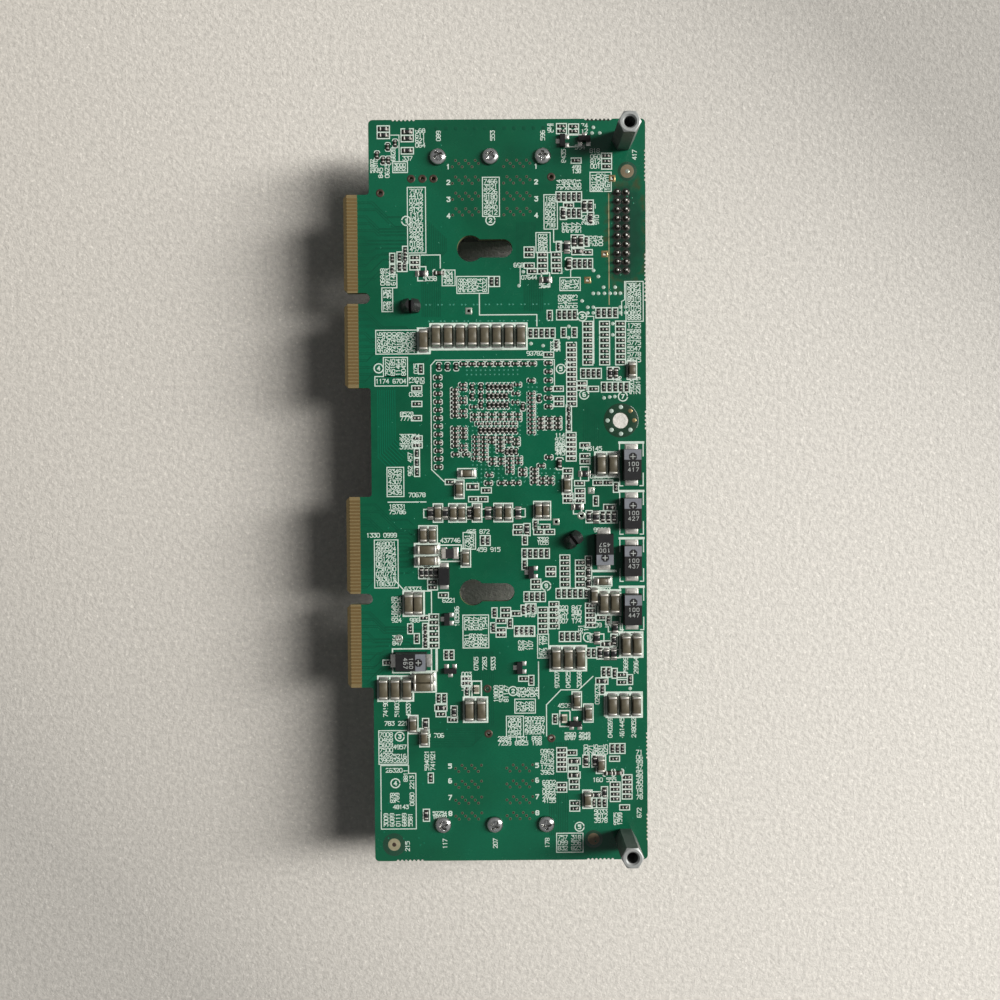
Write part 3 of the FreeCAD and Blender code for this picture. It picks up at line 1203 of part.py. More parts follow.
pieces.append(whole_chips("small_resistors", "0402_resistor", SMALL_RESISTORS))
pieces.append(whole_chips("small_capacitors", "0402_capacitor", SMALL_CAPACITORS))
pieces.append(whole_chips("medium_resistors", "0603_resistor", MIDDLE_RESISTORS))
pieces.append(whole_chips("medium_capacitors", "0603_capacitor", MIDDLE_CAPACITORS))
pieces += jointed_chips("large_resistors", "0805_resistor", LARGE_RESISTORS)
pieces += jointed_chips("large_capacitors", "1206_capacitor", LARGE_CAPACITORS)
pieces += jointed_chips("bulk_capacitors", "1808_capacitor", BULK_CAPACITORS)
pieces += build_placed_parts()
pieces += build_underside()
doc.recompute()

for item in doc.Objects:
    if "Invalid" in item.State or "Error" in item.State:
        raise ValueError(f"{item.Label} did not build: {item.State}")
for piece in pieces:
    if piece.Shape.isNull() or not piece.Shape.isValid():
        raise ValueError(f"{piece.Label} has no valid shape")
    piece.Shape.exportStep(f"parts/{piece.Label}.step")
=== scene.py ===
"""Dresses a drive backplane board and sets it on a pale foam sheet.

The board lies with its solder side up. Chips, solder, legend, pads and tracks
are worked out with numpy from the boxes of the fixed frame's own nodes.
"""

import logging
import math
from dataclasses import dataclass, field
from enum import Enum

import bpy
import numpy as np
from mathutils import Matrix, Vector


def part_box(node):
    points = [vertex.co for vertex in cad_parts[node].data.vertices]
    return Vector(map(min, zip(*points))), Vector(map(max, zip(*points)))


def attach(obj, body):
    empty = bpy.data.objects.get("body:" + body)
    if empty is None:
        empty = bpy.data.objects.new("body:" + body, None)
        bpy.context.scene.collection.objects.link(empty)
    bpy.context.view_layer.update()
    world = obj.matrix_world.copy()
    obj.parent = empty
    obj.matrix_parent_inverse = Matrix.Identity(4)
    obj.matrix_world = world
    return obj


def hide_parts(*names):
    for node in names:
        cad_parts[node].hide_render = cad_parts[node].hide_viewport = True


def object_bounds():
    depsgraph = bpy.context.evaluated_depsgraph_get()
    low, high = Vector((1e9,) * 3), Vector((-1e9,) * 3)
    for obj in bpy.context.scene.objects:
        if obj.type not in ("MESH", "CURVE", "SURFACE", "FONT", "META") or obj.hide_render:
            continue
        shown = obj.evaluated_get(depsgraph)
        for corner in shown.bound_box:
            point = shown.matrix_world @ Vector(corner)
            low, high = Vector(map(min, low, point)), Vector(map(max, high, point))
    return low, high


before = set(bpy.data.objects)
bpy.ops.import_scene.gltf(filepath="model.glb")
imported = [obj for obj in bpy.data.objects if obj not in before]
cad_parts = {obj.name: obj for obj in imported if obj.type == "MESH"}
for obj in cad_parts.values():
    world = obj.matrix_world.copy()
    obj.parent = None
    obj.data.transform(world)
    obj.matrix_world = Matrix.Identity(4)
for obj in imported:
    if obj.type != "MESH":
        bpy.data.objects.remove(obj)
CAD_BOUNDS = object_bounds()

MM = 0.001
LOG = logging.getLogger("backplane")
Array = np.ndarray
Rgb = tuple[float, float, float]
Socket = bpy.types.NodeSocket


# --- finishes

MOTTLE_RAMP = (0.3, 0.7)
GRAIN_RAMP = (0.25, 0.75)
"""Where in a noise's range its ramp starts and ends."""


class Blend(Enum):
    """How one colour is laid over another."""

    MIX = "MIX"
    MULTIPLY = "MULTIPLY"


class Graph:
    """A node tree with short calls for the nodes used here."""

    def __init__(self, tree: bpy.types.NodeTree) -> None:
        """Work on a tree."""
        self.tree = tree

    def link(self, out: Socket, into: Socket) -> None:
        """Join an output to an input."""
        self.tree.links.new(out, into)

    def node(self, kind: str, **settings: object) -> bpy.types.Node:
        """Add a node and set its properties.

        Args:
            kind: the node's type without its ShaderNode prefix.
            settings: properties of the node.

        Returns:
            The new node.
        """
        node = self.tree.nodes.new(f"ShaderNode{kind}")
        for key, value in settings.items():
            setattr(node, key, value)
        return node

    def math(self, operation: str, first: Socket | float, second: Socket | float = 0.0,
             clamp: bool = False) -> Socket:
        """Add a math node on sockets or numbers and return its value.

        Args:
            operation: the node's operation, such as ADD.
            first: a socket or a number.
            second: a socket or a number.
            clamp: whether the value is held between 0 and 1.

        Returns:
            The value's socket.
        """
        node = self.node("Math", operation=operation, use_clamp=clamp)
        for index, value in enumerate((first, second)):
            if isinstance(value, (int, float)):
                node.inputs[index].default_value = value
            else:
                self.link(value, node.inputs[index])
        return node.outputs[0]

    def steps(self, value: Socket, low: float, high: float, start: float = 0.0,
              end: float = 1.0) -> Socket:
        """Return a value carried from the range low..high to start..end, held at the ends."""
        node = self.node("MapRange")
        self.link(value, node.inputs[0])
        for index, number in enumerate((low, high, start, end), start=1):
            node.inputs[index].default_value = number
        return node.outputs[0]

    def parts(self, vector: Socket) -> list[Socket]:
        """Return a vector's X, Y and Z."""
        node = self.node("SeparateXYZ")
        self.link(vector, node.inputs[0])
        return list(node.outputs)


class Nodes(Graph):
    """A material's node tree, on Object coordinates."""

    def __init__(self, name: str) -> None:
        """Start a material of a given name."""
        self.material = bpy.data.materials.new(name)
        self.material.use_nodes = True
        super().__init__(self.material.node_tree)
        self.shader = self.tree.nodes["Principled BSDF"]
        self.place = self.tree.nodes.new("ShaderNodeTexCoord").outputs["Object"]

    def noise(self, size_mm: float, detail: float = 3.0,
              stretch: Rgb = (1.0, 1.0, 1.0), roughness: float = 0.55) -> Socket:
        """Return noise of a given size, from 0 to 1.

        Args:
            size_mm: the width of its spots.
            detail: the octaves.
            stretch: how dense it is along each axis.
            roughness: the weight of the finer octaves.

        Returns:
            The noise's factor.
        """
        mapping = self.node("Mapping")
        mapping.inputs["Scale"].default_value = stretch
        self.link(self.place, mapping.inputs["Vector"])
        noise = self.node("TexNoise")
        noise.inputs["Scale"].default_value = 1.0 / (size_mm * MM)
        noise.inputs["Detail"].default_value = detail
        noise.inputs["Roughness"].default_value = roughness
        self.link(mapping.outputs[0], noise.inputs["Vector"])
        return noise.outputs["Fac"]

    def colours(self, factor: Socket | float, first: Socket | Rgb, second: Socket | Rgb,
                blend: Blend = Blend.MIX) -> Socket:
        """Return a mix of two colours.

        Args:
            factor: 0 for the first colour and 1 for the second, a number or a socket.
            first: a colour or a socket.
            second: a colour or a socket.
            blend: how they mix.

        Returns:
            The mixed colour.
        """
        mix = self.node("Mix", data_type="RGBA", blend_type=blend.value)
        for socket, value in zip((mix.inputs[0], mix.inputs[6], mix.inputs[7]),
                                 (factor, first, second)):
            if isinstance(value, float):
                socket.default_value = value
            elif isinstance(value, tuple):
                socket.default_value = (*value, 1.0)
            else:
                self.link(value, socket)
        return mix.outputs[2]

    def upright(self) -> Socket:
        """Return how squarely a face looks up or down, from 0 to 1."""
        normal = self.node("NewGeometry").outputs["True Normal"]
        return self.math("ABSOLUTE", self.parts(normal)[2])

    def paint(self, colour: Socket, roughness: Socket | float) -> None:
        """Give the shader its colour, and its roughness as a number or a socket."""
        self.link(colour, self.shader.inputs["Base Color"])
        if isinstance(roughness, float):
            self.shader.inputs["Roughness"].default_value = roughness
        else:
            self.link(roughness, self.shader.inputs["Roughness"])

    def bump(self, height: Socket, depth_mm: float, strength: float = 1.0) -> None:
        """Roughen the surface by a height of the given depth."""
        bump = self.node("Bump")
        bump.inputs["Strength"].default_value = strength
        bump.inputs["Distance"].default_value = depth_mm * MM
        self.link(height, bump.inputs["Height"])
        self.link(bump.outputs[0], self.shader.inputs["Normal"])

    def set(self, **values: float) -> None:
        """Set the shader's own sockets, named with underscores for spaces."""
        for key, value in values.items():
            self.shader.inputs[key.replace("_", " ")].default_value = value


@dataclass(frozen=True)
class Finish:
    """A finish of one substance: its colour strays with a mottle, and a fine grain roughens it.

    The grain may be stretched, as drawn or turned metal has it.
    """

    name: str
    colour: Rgb
    shade: Rgb
    roughness: float = 0.5
    spread: float = 0.1
    metallic: float = 0.0
    mottle_mm: float = 1.5
    grain_mm: float = 0.12
    relief_mm: float = 0.004
    stretch: Rgb = (1.0, 1.0, 1.0)
    coat: float = 0.0
    coat_roughness: float = 0.1
    transmission: float = 0.0
    specular: float = 0.5

    def material(self) -> bpy.types.Material:
        """Return the finish's material, made once."""
        known = bpy.data.materials.get(self.name)
        return known if known else self.make()

    def make(self) -> bpy.types.Material:
        """Build the finish's node tree."""
        nodes = Nodes(self.name)
        nodes.paint(self.mottled(nodes), self.grained(nodes))
        nodes.set(Metallic=self.metallic, Specular_IOR_Level=self.specular)
        if self.coat:
            nodes.set(Coat_Weight=self.coat, Coat_Roughness=self.coat_roughness)
        if self.transmission:
            nodes.set(Transmission_Weight=self.transmission, IOR=1.5)
        return nodes.material

    def mottled(self, nodes: Nodes) -> Socket:
        """Return the colour, straying towards its shade with the mottle."""
        mottle = nodes.steps(nodes.noise(self.mottle_mm), *MOTTLE_RAMP)
        return nodes.colours(mottle, self.colour, self.shade)

    def grained(self, nodes: Nodes) -> Socket:
        """Raise the grain and return the roughness that follows it."""
        grain = nodes.noise(self.grain_mm, 2.0, self.stretch)
        nodes.bump(grain, self.relief_mm)
        return nodes.steps(grain, *GRAIN_RAMP, self.roughness - self.spread,
                           self.roughness + self.spread)


def dimmed(colour: Rgb, share: float) -> Rgb:
    """Return a colour at a share of its brightness."""
    return tuple(share * part for part in colour)


@dataclass(frozen=True)
class Patch:
    """An area of the board's face: its middle and its reach along X and Y, in millimetres."""

    middle: tuple[float, float]
    reach: tuple[float, float]

    def offsets(self, nodes: Nodes, place: list[Socket]) -> list[Socket]:
        """Return how far a place lies from the middle along X and Y, in reaches."""
        return [nodes.math("DIVIDE", nodes.math("SUBTRACT", at, middle * MM), reach * MM)
                for at, middle, reach in zip(place, self.middle, self.reach)]


@dataclass(frozen=True)
class SolderMask(Finish):
    """The board's coated laminate: mask over copper and glass weave, bare at edges and fingers.

    Where X is left of the mask's end, and on walls that face sideways, the
    bare laminate shows. Flux residue darkens the mask round the header, and
    painted shade darkens it between the header's rows, where the pins cast shadow.
    """

    bare: Rgb = (0.23, 0.17, 0.075)
    wall: Rgb = (0.12, 0.135, 0.06)
    copper: Rgb = (0.004, 0.135, 0.068)
    residue: Rgb = (0.008, 0.045, 0.026)
    rim: Rgb = (0.060, 0.052, 0.018)
    # painted shadow of the header's pins, laid on the mask between its rows
    pooled: Rgb = (0.005, 0.017, 0.011)
    mask_end: float = -31.75 * MM
    header: Patch = Patch((30.6, 60.2), (4.6, 13.5))
    # the area between the header's rows that the painted pin shadow covers
    header_rows: Patch = Patch((29.4, 60.3), (2.0, 10.2))

    def green(self, nodes: Nodes, weave: Socket) -> Socket:
        """Return the clean mask's colour: clouded, paler over planes, darker in the weave."""
        planes = nodes.steps(nodes.noise(26.0, 1.0), 0.44, 0.56)
        cloud = nodes.steps(nodes.noise(7.0, 4.0), 0.3, 0.72)
        green = nodes.colours(cloud, self.colour, self.shade)
        green = nodes.colours(nodes.math("MULTIPLY", planes, 0.55), green, self.copper)
        return nodes.colours(nodes.steps(weave, 0.35, 0.75, 0.0, 0.35), green,
                             dimmed(self.shade, 0.82))

    def stained(self, nodes: Nodes, place: list[Socket], green: Socket) -> Socket:
        """Lay flux residue on the mask round the header, and painted pin shadow between its rows.

        Args:
            nodes: the material's nodes.
            place: the X, Y and Z of a place.
            green: the clean mask's colour.

        Returns:
            The colour with an oval film, its broken brown rim, and painted pin shadow between the
            rows.
        """
        far = [nodes.math("POWER", part, 2.0) for part in self.header.offsets(nodes, place)]
        oval = nodes.math("ADD", nodes.math("ADD", *far), nodes.noise(2.5, 4.0))
        film = nodes.steps(oval, 0.75, 1.6, 0.8, 0.0)
        rim = nodes.math("MULTIPLY", nodes.steps(oval, 1.1, 1.45, 0.0, 0.7),
                         nodes.steps(oval, 1.45, 2.0, 1.0, 0.0))
        broken = nodes.steps(nodes.noise(1.8, 3.0, (1.0, 1.0, 2.0)), 0.42, 0.62)
        # Painted shade: the pins' shadow darkens the mask between the header's rows.
        near = [nodes.math("ABSOLUTE", part) for part in self.header_rows.offsets(nodes, place)]
        pin_shadow_mask = nodes.steps(nodes.math("MAXIMUM", *near), 0.8, 1.12, 0.85, 0.0)
        green = nodes.colours(film, green, self.residue)
        green = nodes.colours(nodes.math("MULTIPLY", rim, broken), green, self.rim)
        return nodes.colours(pin_shadow_mask, green, self.pooled)

    def make(self) -> bpy.types.Material:
        """Build the laminate's node tree."""
        nodes = Nodes(self.name)
        place = nodes.parts(nodes.place)
        weave = nodes.noise(0.5, 2.0, (1.0, 3.0, 1.0))
        green = self.stained(nodes, place, self.green(nodes, weave))
        bare = nodes.colours(nodes.steps(weave, *MOTTLE_RAMP), self.bare,
                             dimmed(self.bare, 0.75))
        fingers = nodes.math("LESS_THAN", place[0], self.mask_end)
        side = nodes.math("LESS_THAN", nodes.upright(), 0.6)
        colour = nodes.colours(side, nodes.colours(fingers, green, bare), self.wall)
        uncoated = nodes.math("MULTIPLY", nodes.math("MAXIMUM", fingers, side), 0.45)
        grime = nodes.steps(nodes.noise(3.0, 5.0), 0.4, 0.75, self.roughness,
                            self.roughness + self.spread)
        nodes.paint(colour, nodes.math("ADD", uncoated, grime))
        nodes.bump(nodes.math("ADD", weave, nodes.noise(1.6, 2.0)), self.relief_mm)
        nodes.set(Specular_IOR_Level=self.specular)
        return nodes.material


@dataclass(frozen=True)
class TurnedSteel(Finish):
    """Smooth dark flats with rougher turned ends on faces that look up or down; the ends are also
    painted paler, a painted highlight of the light they catch.
    """

    # painted highlight: the paler colour of the turned ends
    turned: Rgb = (0.37, 0.38, 0.37)
    turned_roughness: float = 0.5

    def make(self) -> bpy.types.Material:
        """Build the steel's node tree."""
        nodes = Nodes(self.name)
        # Painted highlight: faces that look up or down take the paler colour.
        end = nodes.steps(nodes.upright(), 0.25, 0.6)
        rougher = nodes.math("MULTIPLY", end, self.turned_roughness - self.roughness)
        nodes.paint(nodes.colours(end, self.mottled(nodes), self.turned),
                    nodes.math("ADD", self.grained(nodes), rougher))
        nodes.set(Metallic=self.metallic)
        return nodes.material


@dataclass(frozen=True)
class FoamSheet(Finish):
    """Pale closed-cell foam with fine pits and specks, and painted light: paler to the right,
    shaded along one diagonal.

    The painted shade is the gain times |x + y| cubed, in metres, and fades out
    between the two ends of its reach.
    """

    gain: float = 120.0
    reach: tuple[float, float] = (0.17, 0.36)
    across: float = 0.12

    def make(self) -> bpy.types.Material:
        """Build the foam's node tree."""
        nodes = Nodes(self.name)
        x, y, _ = nodes.parts(nodes.place)
        # Painted shade: darker along one diagonal, through two corners of the sheet.
        diagonal = nodes.math("ABSOLUTE", nodes.math("ADD", x, y))
        painted_corner_shade = nodes.math("MULTIPLY", nodes.math("POWER", diagonal, 3.0), self.gain, clamp=True)
        far = nodes.node("VectorMath", operation="LENGTH")
        nodes.link(nodes.place, far.inputs[0])
        near = nodes.steps(far.outputs["Value"], *self.reach, 0.85, 0.0)
        # Painted light: the shade colour on the left, the paler colour to the right, where the
        # window lights it.
        base = nodes.colours(nodes.steps(x, -self.across, self.across), self.shade, self.colour)
        base = nodes.colours(nodes.math("MULTIPLY", painted_corner_shade, near), base, dimmed(self.colour, 0.55))
        cells = nodes.noise(1.3, 3.0, roughness=0.72)
        sparks = nodes.steps(nodes.noise(0.8, 1.0), 0.62, 0.74, 0.0, 0.22)
        specks = nodes.math("ADD", nodes.steps(cells, 0.33, 0.70, 0.86, 1.10), sparks)
        speckle = nodes.node("CombineColor")
        for socket in list(speckle.inputs)[:3]:
            nodes.link(specks, socket)
        nodes.paint(nodes.colours(1.0, base, speckle.outputs[0], Blend.MULTIPLY), self.roughness)
        nodes.bump(cells, self.relief_mm, 0.9)
        return nodes.material


MASK = SolderMask("solder_mask", (0.004, 0.105, 0.048), (0.003, 0.081, 0.039), 0.20, 0.12,
                  relief_mm=0.006, specular=0.35)
TRACK = Finish("mask_over_track", (0.003, 0.068, 0.034), (0.004, 0.086, 0.042), 0.22, 0.06,
               specular=0.35)
POUR = Finish("mask_over_pour", (0.003, 0.142, 0.072), (0.003, 0.122, 0.062), 0.22, 0.06,
              specular=0.35)
RING_MASK = Finish("mask_round_hole", (0.014, 0.050, 0.026), (0.010, 0.034, 0.018), 0.3, 0.08,
                   specular=0.35)
TENTED = Finish("tented_via", (0.035, 0.26, 0.17), (0.020, 0.17, 0.11), 0.32, 0.08)
HALO = Finish("mask_round_mark", (0.010, 0.062, 0.033), (0.013, 0.050, 0.028), 0.3, 0.06)
INK = Finish("legend_ink", (0.70, 0.78, 0.71), (0.55, 0.66, 0.58), 0.55, 0.12, mottle_mm=0.8)
STAINED_INK = Finish("stained_ink", (0.38, 0.33, 0.17), (0.24, 0.24, 0.13), 0.55, 0.12)
VIA_CAP = Finish("filled_via", (0.50, 0.60, 0.53), (0.36, 0.46, 0.39), 0.4, 0.12, 0.2)
BARE_PAD = Finish("tinned_pad", (0.48, 0.50, 0.44), (0.34, 0.40, 0.33), 0.32, 0.12, 0.7)
COPPER_RING = Finish("bare_copper_ring", (0.088, 0.058, 0.042), (0.055, 0.038, 0.028), 0.4,
                     metallic=0.5)
TAN_RING = Finish("bare_laminate_ring", (0.21, 0.16, 0.095), (0.14, 0.11, 0.06), 0.45)
PALE_RING = Finish("scraped_ring", (0.34, 0.31, 0.20), (0.25, 0.23, 0.14), 0.45)
VIA_RING = Finish("plated_via_rim", (0.15, 0.145, 0.09), (0.085, 0.09, 0.055), 0.45)
BRASS_PAD = Finish("gilt_test_pad", (0.42, 0.31, 0.15), (0.24, 0.17, 0.08), 0.3, 0.1, 0.8)
GOLD = Finish("contact_gold", (0.20, 0.108, 0.028), (0.135, 0.072, 0.018), 0.34, 0.14, 0.85,
              mottle_mm=2.5, grain_mm=0.3, stretch=(0.15, 3.0, 1.0))
SOLDER = Finish("bright_solder", (0.54, 0.53, 0.49), (0.40, 0.39, 0.36), 0.42, 0.10, 0.9,
                mottle_mm=0.8, grain_mm=0.2, relief_mm=0.003)
# Solder painted dark: a painted reflection of the dark room above, for small chips' joints and the
# header's cones.
SOLDER_PAINTED_DARK = Finish("solder_painted_dark", (0.10, 0.092, 0.082), (0.045, 0.042, 0.036), 0.30, 0.10, 0.9,
                mottle_mm=0.5, grain_mm=0.2, relief_mm=0.008)
TIN = Finish("plated_end", (0.58, 0.56, 0.51), (0.44, 0.42, 0.37), 0.48, 0.10, 0.75,
             mottle_mm=0.7)
# Small chips' tinned ends, painted pale and mostly matte: the tin's own colour and a painted glint.
TIN_AND_GLINT = Finish("small_tin_end_and_painted_glint", (0.70, 0.68, 0.62), (0.52, 0.50, 0.46), 0.45, 0.10, 0.3,
              mottle_mm=0.5)
RESIST = Finish("resistor_film", (0.008, 0.008, 0.009), (0.014, 0.013, 0.013), 0.34,
                mottle_mm=0.5, coat=0.2)
# Dark fill: pad openings and a tab's torn fibres, with painted shade round chips, in via holes and
# round header pins.
DARK_FILL_AND_SHADE = Finish("dark_fill_and_painted_shade", (0.010, 0.018, 0.011), (0.016, 0.016, 0.010), 0.35)
DIELECTRIC = Finish("small_dielectric", (0.040, 0.031, 0.022), (0.024, 0.019, 0.014), 0.42,
                    mottle_mm=0.4)
BROWN = Finish("large_dielectric", (0.125, 0.108, 0.070), (0.080, 0.068, 0.042), 0.40, 0.12,
               mottle_mm=1.2, relief_mm=0.006)
MOULD = Finish("black_moulding", (0.010, 0.010, 0.0105), (0.015, 0.015, 0.0155), 0.5,
               grain_mm=0.09, relief_mm=0.008, specular=0.25)
BAND = Finish("polarity_band", (0.17, 0.18, 0.205), (0.21, 0.22, 0.245))
PALE_INK = Finish("part_marking", (0.46, 0.48, 0.46), (0.34, 0.36, 0.34), 0.55)
NICKEL = Finish("nickel_plate", (0.56, 0.56, 0.54), (0.38, 0.38, 0.37), 0.20, 0.10, 1.0,
                mottle_mm=1.0, grain_mm=0.25, relief_mm=0.004)
DARK_STEEL = TurnedSteel("turned_steel", (0.20, 0.21, 0.205), (0.14, 0.15, 0.145), 0.38, 0.08,
                         0.5, mottle_mm=2.2, grain_mm=0.4, stretch=(1.0, 1.0, 9.0), relief_mm=0.002)
DIECAST = Finish("diecast_housing", (0.52, 0.52, 0.50), (0.40, 0.40, 0.39), 0.36, 0.12, 1.0,
                 mottle_mm=5.0, grain_mm=0.25, relief_mm=0.02)
INSULATOR = Finish("black_insulator", (0.018, 0.018, 0.019), (0.030, 0.029, 0.028), 0.42,
                   mottle_mm=3.0, relief_mm=0.01)
NYLON = Finish("black_nylon", (0.012, 0.012, 0.012), (0.02, 0.02, 0.02), 0.36,
               mottle_mm=2.0, relief_mm=0.012)
PACKAGE = Finish("package_laminate", (0.012, 0.11, 0.060), (0.008, 0.075, 0.042), 0.34,
                 mottle_mm=3.0)
PAD_GREY = Finish("thermal_pad", (0.32, 0.33, 0.36), (0.26, 0.27, 0.30), 0.85, 0.08,
                  mottle_mm=2.0, relief_mm=0.05)
ANODISED = Finish("anodised_fins", (0.020, 0.020, 0.023), (0.034, 0.034, 0.038), 0.42, 0.12, 0.6,
                  mottle_mm=8.0, grain_mm=0.35, stretch=(6.0, 0.3, 6.0), relief_mm=0.015)
SPRING = Finish("spring_wire", (0.50, 0.50, 0.50), (0.36, 0.36, 0.36), 0.25, 0.08, 1.0)
WHITE_BASE = Finish("lamp_base", (0.72, 0.69, 0.60), (0.60, 0.57, 0.48))
LENS = Finish("lamp_lens", (0.85, 0.80, 0.62), (0.80, 0.72, 0.50), 0.12, 0.05,
              transmission=0.75)
FERRITE = Finish("pressed_ferrite", (0.085, 0.085, 0.088), (0.060, 0.060, 0.062), 0.66, 0.12,
                 mottle_mm=1.0, grain_mm=0.2, relief_mm=0.04)
CAN = Finish("crystal_can", (0.62, 0.61, 0.58), (0.50, 0.49, 0.47), 0.3, 0.1, 1.0,
             grain_mm=0.3, stretch=(0.2, 4.0, 1.0))
# The second colour is the painted shade of the sheet's left side.
FOAM = FoamSheet("foam_sheet", (0.815, 0.78, 0.722), (0.635, 0.60, 0.547), 0.8, relief_mm=0.26)


# --- surfaces

def stood(name: str, data: bpy.types.ID) -> bpy.types.Object:
    """Return a new object of a mesh, lamp or camera, linked to the scene."""
    thing = bpy.data.objects.new(name, data)
    bpy.context.scene.collection.objects.link(thing)
    return thing


@dataclass
class Surface:
    """Vertices and faces gathered from arrays, with one finish for each batch."""

    name: str
    finishes: list[Finish] = field(default_factory=list)
    vertices: list[Array] = field(default_factory=list)
    faces: list[Array] = field(default_factory=list)
    marks: list[Array] = field(default_factory=list)
    total: int = 0

    def add(self, vertices: Array, faces: Array, finish: Finish) -> None:
        """Add a batch of faces of one finish.

        Args:
            vertices: their places in metres, in an array whose last axis is X, Y and Z.
            faces: an (m, k) array of indices into those vertices.
            finish: what the batch is finished in.
        """
        if finish not in self.finishes:
            self.finishes.append(finish)
        self.vertices.append(vertices.reshape(-1, 3))
        self.faces.append(faces + self.total)
        self.marks.append(np.full(len(faces), self.finishes.index(finish)))
        self.total += len(self.vertices[-1])

    def revolve(self, profile_mm: Array, centres: Array, steps: int, finish: Finish,
                start: float = 0.0) -> None:
        """Add a profile turned about upright axes.

        A point (r, z) goes to (x + r cos t, y + r sin t, z0 + z) for each centre.

        Args:
            profile_mm: radius and height of each point, lowest or outermost first.
            centres: an (n, 3) array in metres.
            steps: points round each circle.
            finish: what it is finished in.
            start: the angle of the first point, in radians.
        """
        turn = start + np.linspace(0.0, 2.0 * np.pi, steps, endpoint=False)
        radius, height = np.asarray(profile_mm, float).T[..., None] * MM
        ring = np.stack([radius * np.cos(turn), radius * np.sin(turn), height + 0.0 * turn], -1)
        faces = grid_faces(len(profile_mm), steps, len(centres), closed=True)
        self.add(centres[:, None, None, :] + ring, faces, finish)

    def piece(self, smooth: bool = False, angle: float = 50.0) -> bpy.types.Object:
        """Make the object, ride it on the root body and report it.

        Args:
            smooth: whether faces are shaded smooth up to the angle.
            angle: the sharpest edge, in degrees, that stays smooth.

        Returns:
            The new object.
        """
        mesh = bpy.data.meshes.new(self.name)
        faces = [face for batch in self.faces for face in batch.tolist()]
        mesh.from_pydata(np.concatenate(self.vertices).tolist(), [], faces)
        mesh.polygons.foreach_set("material_index", np.concatenate(self.marks))
        if smooth:
            mesh.shade_smooth()
            mesh.set_sharp_from_angle(angle=math.radians(angle))
        for finish in self.finishes:
            mesh.materials.append(finish.material())
        mesh.update()
        piece = stood(self.name, mesh)
        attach(piece, "root")
        LOG.info("%s: %d faces", self.name, len(faces))
        return piece


def grid_faces(rows: int, columns: int, copies: int = 1, closed: bool = False) -> Array:
    """Return the quads of grids laid out one after another.

    Args:
        rows: points down a grid.
        columns: points across it.
        copies: how many grids follow each other.
        closed: whether the last column joins the first.

    Returns:
        An (n, 4) array. Quad (i, j) joins points i, i+1 of columns j, j+1.
    """
    down, across = np.meshgrid(np.arange(rows - 1), np.arange(columns - (not closed)),
                               indexing="ij")
    right = (across + 1) % columns
    quads = np.stack([down * columns + across, down * columns + right,
                      (down + 1) * columns + right, (down + 1) * columns + across], -1)
    quads = quads.reshape(1, -1, 4) + np.arange(copies).reshape(-1, 1, 1) * rows * columns
    return quads.reshape(-1, 4)


def bevelled_blocks(low: Array, high: Array, bevel: float) -> tuple[Array, Array]:
    """Return blocks whose four upper edges are bevelled.

    Rings of four corners: at the foot, at the bevel's start, and inset on top.

    Args:
        low: an (n, 3) array of lowest corners.
        high: an (n, 3) array of highest corners.
        bevel: the bevel's width and height.

    Returns:
        Vertices and quads: four walls, four bevels, a foot and a top.
    """
    inset = np.array([0.0, 0.0, bevel])
    levels = np.stack([low[:, 2], high[:, 2] - bevel, high[:, 2]], 1)
    x = np.stack([low[:, None, 0] + inset, high[:, None, 0] - inset], -1)
    y = np.stack([low[:, None, 1] + inset, high[:, None, 1] - inset], -1)
    corners = np.stack([x[..., [0, 1, 1, 0]], y[..., [0, 0, 1, 1]],
                        np.repeat(levels[..., None], 4, -1)], -1)
    walls = grid_faces(3, 4, len(low), closed=True)
    starts = np.arange(len(low))[:, None] * 12
    caps = np.concatenate([starts + [3, 2, 1, 0], starts + [8, 9, 10, 11]])
    return corners, np.concatenate([walls, caps])


def solid_boxes(node: str) -> tuple[Array, Array]:
    """Return the lowest and highest corners of a node's block-shaped solids.

    A block is twelve triangles in a row, so the corners are the least and
    greatest of each run of 36 points.

    Args:
        node: a node whose solids are all plain blocks.

    Returns:
        Two (n, 3) arrays in metres.
    """
    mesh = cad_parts[node].data
    mesh.calc_loop_triangles()
    places = np.empty(len(mesh.vertices) * 3)
    mesh.vertices.foreach_get("co", places)
    corners = np.empty(len(mesh.loop_triangles) * 3, dtype=np.int64)
    mesh.loop_triangles.foreach_get("vertices", corners)
    points = places.reshape(-1, 3)[corners].reshape(-1, 36, 3)
    return points.min(1), points.max(1)


def raised(places: Array, height: float) -> Array:
    """Return flat places with one height for all of them."""
    return np.column_stack([places[:, :2], np.full(len(places), height)])


def middles(low: Array, high: Array) -> tuple[Array, Array]:
    """Return the middles and the half sizes of boxes."""
    return (low + high) / 2, (high - low) / 2


def dress(finish: Finish, *nodes: str) -> None:
    """Give nodes of the frame a finish in place of their plain one."""
    for node in nodes:
        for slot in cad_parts[node].material_slots:
            slot.material = finish.material()


# --- legend

DIGITS = {
    "0": "01 05 16 36 45 41 30 10 01", "1": "15 26 20", "2": "05 16 36 45 44 00 40",
    "3": "06 46 24 34 43 41 30 10 01", "4": "30 36 02 42", "5": "46 06 04 34 43 41 30 00",
    "6": "36 16 05 01 10 30 41 43 03", "7": "06 46 10",
    "8": "13 04 05 16 36 45 44 33 13 02 01 10 30 41 42 33", "9": "10 30 41 45 36 16 05 03 43",
}
"""Strokes of each figure: points on a grid four wide and six high, in order."""
FIGURE_STEP = 0.86
"""The step from figure to figure, in heights."""


